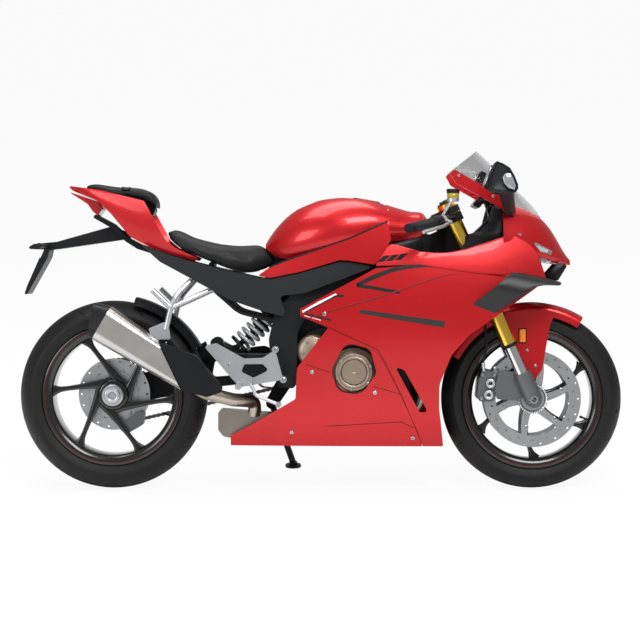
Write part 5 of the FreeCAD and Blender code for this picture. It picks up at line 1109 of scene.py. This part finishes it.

# %% [markdown]
# Behind the frame's spar a bronze engine cover shows, a rubber welt seals the side panel to the tank, and the
# upper fairing has three slanted louvres, whose openings are painted black as shade. Plain black blocks back
# the openings behind which the real machine has parts that are not modelled.

# %% Engine cover, backings, welts and louvres
REAR_COVER = (668, -134, 460)
REAR_COVER_FORM = [(0, 1), (0, 30), (2, 34), (2, 44), (8, 52), (22, 57), (58, 58), (58, 1)]
rear_cover = turned(REAR_COVER_FORM, REAR_COVER, ACROSS, 72)
add_piece("engine_rear_cover", rear_cover, bronze, "chassis")
rear_cover_screws = [screw(place, (0, -1, 0), 4.5, 4.0) for place in spaced(6, 39, REAR_COVER, -132.4, 10)]
add_piece("rear_cover_screws", rear_cover_screws, screw_steel, "chassis", smooth=False)
BACKINGS = (((545, -70, 606), (606, 70, 656)), ((600, -70, 470), (722, 70, 585)),
            ((600, -70, 386), (655, 30, 445)), ((505, -50, 738), (590, 50, 796)),
            ((505, -90, 692), (580, 90, 714)), ((950, -60, 280), (1030, 60, 420)))


def block(low, high):
    """A plain box between two corners."""
    (x0, y0, z0), (x1, y1, z1) = low, high
    rings = [[(x, y0, z0), (x, y1, z0), (x, y1, z1), (x, y0, z1)] for x in (x0, x1)]
    return closed_grid(np.array(rings, dtype=float), False, True)


backings = [block(*corners) for corners in BACKINGS]
add_piece("gap_backings", backings, black_and_painted_shade, "chassis", smooth=False)
WELT = [(520, 734), (563, 752), (640, 779), (715, 806), (785, 830), (850, 859), (906, 884)]


def welt(side):
    """A rubber bead along the side panel's upper edge, a little outside it."""
    line = run_along(WELT, np.linspace(0, 1, 24))
    points = on_skin(line - [0, 6], ("tank_side_panels",), side)[0]
    points[:, 2] = line[:, 1] + 0.5
    return tube(points - [0, side * 1.0, 0], 2.6, 60, 10)


add_piece("tank_welts", both(welt), hose_rubber, "chassis")


def louvre(x, z, side):
    """A slanted slot whose rear corner is at (ahead, up); its opening is painted black as the shade inside
    it.
    """
    top = [(x, z), (x + 22, z + 21), (x + 46, z + 23)]
    low = [(x, z), (x + 22, z + 2), (x + 46, z + 23)]
    return skin_panel(top, low, (x, x + 46), FAIRING_SKIN, FAIRING_FLANK, side, 2.5, 1.0, 12)


# Painted shade: each louvre's opening is a black panel on the skin, for the shade inside the slot.
louvres = [louvre(x, z, side) for x, z in ((872, 752), (900, 755), (928, 758)) for side in (-1, 1)]
add_piece("fairing_louvres_painted_shade", louvres, black_and_painted_shade, "chassis", smooth=False)

# %% [markdown]
# The fork's gold tubes end in a rubber wiper, and their tops carry an adjuster. The grips are moulded in
# ribs: their profile is a wave along the bar. The brake fluid stands amber in a clear cup under a black lid.

# %% Fork, grips and reservoir
RAKE = math.radians(24.0)
FORK_UP = np.array([-math.sin(RAKE), 0.0, math.cos(RAKE)])
FORK_HALF = 100.0


def on_fork(side, height):
    """A place on a fork leg's axis, measured up the leg from the spindle."""
    return FRONT + FORK_UP * height + np.array([0, side * FORK_HALF, 0])


WIPER = [(0, 20.8), (0, 26), (3, 28), (10, 28), (12, 26.5), (12, 20.8)]
CAP = [(-2, 8), (0, 20), (5, 20), (6, 18), (6, 11), (12, 10), (13, 8), (13, 1)]
wipers = both(lambda side: turned(WIPER, on_fork(side, 189), FORK_UP, 40, True))
add_piece("fork_wipers", wipers, hose_rubber, "steering")
caps = both(lambda side: turned(CAP, on_fork(side, 706), FORK_UP, 40))
add_piece("fork_caps", caps, satin_black, "steering")


def axis_in(node, side):
    """The middle, direction and half-length of a bar-shaped solid on one side of the machine."""
    points = upright(corner_array(NODES[node].data))
    points = points[points[:, 1] * side > 0]
    middle = (points.min(axis=0) + points.max(axis=0)) / 2
    way = np.linalg.svd(points - points.mean(axis=0), full_matrices=False)[2][0]
    way = way * np.sign(way[1]) * side
    reach = (points - middle) @ way
    middle = middle + way * (reach.min() + reach.max()) / 2
    return middle, way, (reach.max() - reach.min()) / 2


def ribbed_grip(side):
    """A grip whose radius waves along its length between two plain ends, with a collar at the inner end."""
    middle, way, half = axis_in("grips", side)
    place = np.linspace(-half, half, 190)
    ribs = smooth_step(10, 16, half - np.abs(place)) * 0.9 * np.cos(place * 2 * math.pi / 4.2)
    collar = 4.0 * (1 - smooth_step(3.5, 5.0, place + half))
    radius = 16.0 + ribs + collar
    return turned(np.column_stack([place, radius]), middle, way, 40)


add_piece("ribbed_grips", both(ribbed_grip), grip_rubber, "steering", ["grips"])

LEVER_POINTS = upright(corner_array(NODES["levers"].data))
CUP_TOP = LEVER_POINTS[LEVER_POINTS[:, 2] > LEVER_POINTS[:, 2].max() - 0.5]
CUP_RADIUS = (CUP_TOP[:, 0].max() - CUP_TOP[:, 0].min()) / 2 + 0.6
CUP_TOP = (CUP_TOP.min(axis=0) + CUP_TOP.max(axis=0)) / 2
CUP_HEIGHT = 30.0
print("reservoir:", CUP_TOP.round(), round(CUP_RADIUS, 1))
LID_RADIUS = CUP_RADIUS + 1.6
cup = [(-CUP_HEIGHT, 1), (-CUP_HEIGHT, CUP_RADIUS - 1), (1 - CUP_HEIGHT, CUP_RADIUS), (-11, CUP_RADIUS)]
lid = [(-12, CUP_RADIUS), (-12, LID_RADIUS), (-1, LID_RADIUS), (1, CUP_RADIUS), (1.4, 8), (1.4, 0.5)]
add_piece("brake_fluid", turned(cup, CUP_TOP, (0, 0, 1)), amber_fluid, "steering")
add_piece("reservoir_lid", turned(lid, CUP_TOP, (0, 0, 1)), satin_black, "steering")

# %% [markdown]
# The mirrors face backwards: a rounded pane of glass in each shell, and a clear indicator lens at the shell's
# outer end. The dash is a dark pane. The filler cap is a flap in a ring with six screws, set to the tank's
# slope, which lines sent down onto it measure.

# %% Mirrors, dash and filler cap
MIRROR_MIDDLE = np.array([1226.0, 327.0, 1024.0])


def pane(centre, out, wide, high, half_wide, half_high, power=3.2, deep=3.0):
    """A thin rounded pane: superellipse rings around its centre, with a bevelled rim."""
    out, wide, high = (np.asarray(one, dtype=float) for one in (out, wide, high))
    turn = np.linspace(0, 2 * math.pi, 64, endpoint=False)
    cosine, sine = np.cos(turn), np.sin(turn)
    reach = (np.abs(cosine) ** power + np.abs(sine) ** power) ** (-1 / power)
    ring = (reach * cosine)[:, None] * wide * half_wide + (reach * sine)[:, None] * high * half_high
    levels = ((-deep, 1.0), (0.0, 1.0), (0.8, 0.985), (1.0, 0.9), (1.0, 0.4))
    grid = np.stack([np.asarray(centre) + level * out + share * ring for level, share in levels])
    return closed_grid(grid, False, True)


def mirror_pane(side, grow, deep, out):
    """The mirror's glass or its rim, for one side."""
    middle = MIRROR_MIDDLE * [1, side, 1] + np.array(out)
    return pane(middle, (-0.94, 0, 0.34), ACROSS, (0.34, 0, 0.94), 56 + grow, 36 + grow, deep=deep)


rims = both(lambda side: mirror_pane(side, 3, 12, (-6, 0, 0)))
panes = both(lambda side: mirror_pane(side, 0, 4, (-7.5, 0, 0)))
add_piece("mirror_rims", rims, satin_black, "chassis")
add_piece("mirror_glass", panes, mirror_silver, "chassis")
LENS = [(1264, 1021), (1274, 1033), (1289, 1032), (1298, 1016), (1306, 993), (1302, 980), (1283, 985),
        (1268, 1001)]
lenses = both(lambda side: side_plate(LENS, 388.0, 393.5, side, 1.6))
add_piece("mirror_indicators", lenses, indicator_clear, "chassis")

DASH_MIDDLE = (1213.0, 0.0, 968.0)
dash_pane = pane(DASH_MIDDLE, (-0.77, 0, 0.64), ACROSS, (0.64, 0, 0.77), 70, 33, 6.0)
add_piece("dash_glass", dash_pane, dash_screen, "chassis")

FILLER = (842.0, 0.0)
filler_spots = on_top(np.array([FILLER, (FILLER[0] + 30, 0), (FILLER[0] - 30, 0)]), ("fuel_tank",))
FILLER_PLACE = filler_spots[0]
slope = filler_spots[1] - filler_spots[2]
FILLER_UP = unit(np.array([-slope[2], 0, slope[0]]))
FILLER_RING = [(-6, 30), (-6, 46), (0.2, 46), (1.4, 44), (1.4, 37), (-1, 35), (-1, 30)]
FILLER_FLAP = [(-6, 34), (0.8, 34), (1.8, 32), (2.2, 12), (2.2, 1)]
ring = turned(FILLER_RING, FILLER_PLACE, FILLER_UP, 64, True)
flap = turned(FILLER_FLAP, FILLER_PLACE, FILLER_UP, 64)
add_piece("filler_ring", ring, satin_black, "chassis")
add_piece("filler_flap", flap, bright_alloy, "chassis")
turns = np.radians(np.arange(6) * 60 + 30)[:, None]
round_ring = np.cos(turns) * unit(slope) + np.sin(turns) * np.array([0, 1, 0])
filler_screws = [screw(place, FILLER_UP, 3.2) for place in FILLER_PLACE + FILLER_UP + 40.5 * round_ring]
add_piece("filler_screws", filler_screws, screw_steel, "chassis", smooth=False)

# %% [markdown]
# The remaining fasteners are screws around the clutch cover and on the heel plates, and the silencer's
# rivets. The clutch cover has a turned ring.

# %% Fasteners of the chassis
COVER_FACE = -162.0
CLUTCH_COVER = (798, COVER_FACE + 1, 393)
COVER_RING = [(0, 40), (0, 44), (-3, 45), (-3, 51), (0, 52)]
HEEL = ("rearset_plates",)
cover_screws = [screw(place, (0, -1, 0), 5.0, 4.0) for place in spaced(6, 57, CLUTCH_COVER, COVER_FACE, 20)]
heel_screws = screws_both([(541, 467), (567, 369)], HEEL, 8.0)
heel_screws += screws_both([(390, 420), (470, 372)], HEEL, 5.0)
rivets = skin_screws([(20, 585), (46, 556), (150, 520), (190, 492)], ("muffler",), 3.0)
fasteners = cover_screws + heel_screws + rivets
add_piece("chassis_screws", fasteners, screw_steel, "chassis", smooth=False)
cover_ring = turned(COVER_RING, CLUTCH_COVER, ACROSS, 64, True)
add_piece("cover_ring", cover_ring, bronze, "chassis")

# %% [markdown]
# The front fender carries an amber reflector in a black frame behind the fork leg, and two screws.

# %% Fender reflector
FENDER = ("front_fender",)
reflector = stripes([([(1356, 488), (1356, 530)], [20, 20])], FENDER, lift=3.0)
frame_band = stripes([([(1356, 484), (1356, 534)], [26, 26])], FENDER, lift=1.6)
add_piece("fender_reflectors", reflector, amber_lens, "steering")
add_piece("reflector_frames", frame_band, satin_black, "steering")
fender_screws = screws_both([(1371, 462), (1398, 410)], FENDER, 5.0)
add_piece("fender_screws", fender_screws, screw_steel, "steering", smooth=False)

# %% [markdown]
# The chain runs on the left. Its line is two arcs joined by two straight runs, so a place on it is a function
# of the distance travelled. Links sit one pitch apart along it: outer and inner plates take turns, with a
# roller at each pin.

# %% Chain links
PITCH = 15.875
REAR_TEETH, FRONT_TEETH = 43, 15
CHAIN_PLANE = 134.0
FRONT_SPROCKET = np.array([655.0, 392.0])


def chain_line(places):
    """Places (ahead, up) on the loop at distances from the start of its upper run."""
    big = PITCH / (2 * math.sin(math.pi / REAR_TEETH))
    small = PITCH / (2 * math.sin(math.pi / FRONT_TEETH))
    start = np.array([0.0, REAR_TYRE_RADIUS])
    run = FRONT_SPROCKET - start
    far = np.linalg.norm(run)
    tilt = math.atan2(run[1], run[0])
    lean = math.asin((big - small) / far)
    straight = math.sqrt(far * far - (big - small) ** 2)
    top = tilt + math.pi / 2 - lean
    low = tilt - math.pi / 2 + lean
    front_arc, rear_arc = small * (top - low), big * (2 * math.pi - (top - low))
    total = 2 * straight + front_arc + rear_arc
    s = np.asarray(places) * total
    leave = start + big * np.array([math.cos(top), math.sin(top)])
    meet = FRONT_SPROCKET + small * np.array([math.cos(top), math.sin(top)])
    back = FRONT_SPROCKET + small * np.array([math.cos(low), math.sin(low)])
    home = start + big * np.array([math.cos(low), math.sin(low)])
    upper = leave + (meet - leave) * (s / straight)[:, None]
    turn = top - (s - straight) / small
    nose = FRONT_SPROCKET + small * np.column_stack([np.cos(turn), np.sin(turn)])
    lower = back + (home - back) * ((s - straight - front_arc) / straight)[:, None]
    turn = low - (s - 2 * straight - front_arc) / big
    tail = start + big * np.column_stack([np.cos(turn), np.sin(turn)])
    parts = [upper, nose, lower, tail]
    which = np.digitize(s, [straight, straight + front_arc, 2 * straight + front_arc])
    return np.stack(parts)[which, np.arange(len(s))], total


def chain_links():
    """All plates and rollers as arrays: one outline of a plate, turned and moved to every link."""
    total = chain_line(np.zeros(1))[1]
    count = 2 * round(total / PITCH / 2)
    pins = chain_line(np.arange(count) / count)[0]
    nxt = np.roll(pins, -1, axis=0)
    way = (nxt - pins) / np.linalg.norm(nxt - pins, axis=1, keepdims=True)
    side = np.column_stack([-way[:, 1], way[:, 0]])
    turn = np.linspace(math.pi / 2, 3 * math.pi / 2, 6)
    cap = 6.6 * np.column_stack([np.cos(turn), np.sin(turn)])
    outline = np.concatenate([cap, [[PITCH / 2, -4.4]], -cap + [PITCH, 0], [[PITCH / 2, 4.4]]])
    parts = []
    for start, offset in ((0, 7.4), (1, 5.0)):
        for sign in (-1, 1):
            at, along, across = pins[start::2], way[start::2], side[start::2]
            flat = at[:, None] + outline[:, :1] * along[:, None] + outline[:, 1:] * across[:, None]
            y = CHAIN_PLANE + sign * offset
            for links in flat:
                rings = np.stack([np.column_stack([links[:, 0], np.full(len(links), y + shift), links[:, 1]])
                                  for shift in (-0.9, 0.9)])
                parts.append(closed_grid(rings, False, True))
    roller = [(-9.2, 0.5), (-9.2, 2.6), (-4, 2.6), (-4, 5), (4, 5), (4, 2.6), (9.2, 2.6), (9.2, 0.5)]
    for pin in pins:
        parts.append(turned(roller, (pin[0], CHAIN_PLANE, pin[1]), ACROSS, 10))
    print("chain links:", count)
    return parts


add_piece("chain_links", chain_links(), chain_steel, "chassis", ["chain"], smooth=False)

# %% [markdown]
# The studio is a white floor, an even white surround and three large soft lamps. The floor keeps a soft
# shadow: seen by the camera it is partly its own light, so it stays near white. The camera stands seven
# metres to the machine's right, turned with its lean, as the reference view does.

# %% Floor, light and camera
FLOOR_GLOW = 0.93
AMBIENT = 0.34
VIEW_DISTANCE = 7000.0
VIEW_AHEAD, VIEW_UP = 719.4, 742.8
VIEW_PIXELS = 640
AXIS_PIXEL = (330, 265)
FIELD = 3.34 * VIEW_PIXELS
SENSOR = 36.0


def studio_floor():
    """A wide floor that glows a little for the camera and takes the shadow."""
    side = np.array([[-200.0, -200.0], [200.0, -200.0], [200.0, 200.0], [-200.0, 200.0]])
    floor = write_mesh("floor", np.column_stack([side, np.zeros(4)]), np.array([[0, 1, 2, 3]]), False)
    finish = bpy.data.materials.new("floor_white")
    finish.use_nodes = True
    tree = finish.node_tree
    shader = tree.nodes["Principled BSDF"]
    shader.inputs["Base Color"].default_value = (0.9, 0.9, 0.9, 1)
    shader.inputs["Roughness"].default_value = 0.9
    glow = add_node(tree, "ShaderNodeEmission", {"Strength": 1.0})
    seen = add_node(tree, "ShaderNodeLightPath").outputs["Is Camera Ray"]
    mix = add_node(tree, "ShaderNodeMixShader", {0: maths(tree, "MULTIPLY", seen, FLOOR_GLOW),
                                                 1: shader.outputs[0], 2: glow.outputs[0]})
    tree.links.new(mix.outputs[0], tree.nodes["Material Output"].inputs["Surface"])
    floor.data.materials.append(finish)


def lamp(name, place, target, size, power):
    """A square soft lamp at a place in metres, turned to a target."""
    light = bpy.data.lights.new(name, "AREA")
    light.shape = "RECTANGLE"
    light.size, light.size_y = size
    light.energy = power
    thing = bpy.data.objects.new(name, light)
    bpy.context.scene.collection.objects.link(thing)
    thing.location = place
    thing.rotation_euler = (Vector(target) - Vector(place)).to_track_quat("-Z", "Y").to_euler()


def surround():
    """A white world that lights evenly, and shows white to the camera and through glass."""
    world = bpy.data.worlds.new("studio")
    bpy.context.scene.world = world
    world.use_nodes = True
    tree = world.node_tree
    back = tree.nodes["Background"]
    path = add_node(tree, "ShaderNodeLightPath")
    seen = maths(tree, "MAXIMUM", path.outputs["Is Camera Ray"], path.outputs["Is Transmission Ray"])
    level = maths(tree, "ADD", maths(tree, "MULTIPLY", seen, 1 - AMBIENT), AMBIENT)
    back.inputs["Color"].default_value = (1, 1, 1, 1)
    tree.links.new(level, back.inputs["Strength"])


def camera():
    """The reference view: a long lens, shifted so that its axis meets the right place of the frame."""
    data = bpy.data.cameras.new("camera")
    data.sensor_width = SENSOR
    data.lens = SENSOR * VIEW_DISTANCE / FIELD
    data.shift_x = (VIEW_PIXELS / 2 - AXIS_PIXEL[0]) / VIEW_PIXELS
    data.shift_y = (AXIS_PIXEL[1] - VIEW_PIXELS / 2) / VIEW_PIXELS
    thing = bpy.data.objects.new("camera", data)
    bpy.context.scene.collection.objects.link(thing)
    turn = Matrix((AHEAD, UP, -LEFT)).transposed()
    thing.matrix_world = Matrix.Translation(stood([VIEW_AHEAD, -VIEW_DISTANCE, VIEW_UP])) @ turn.to_4x4()
    bpy.context.scene.camera = thing


studio_floor()
surround()
lamp("key", (1.2, -2.6, 3.8), (0.2, 0, 0.6), (2.6, 1.4), 150)
lamp("top", (-0.5, 0.6, 3.8), (0, 0, 0.5), (4.0, 1.6), 110)
lamp("fill", (-3.0, -3.0, 2.0), (0, 0, 0.5), (1.6, 1.6), 45)
camera()
bpy.context.scene.view_settings.view_transform = "Standard"
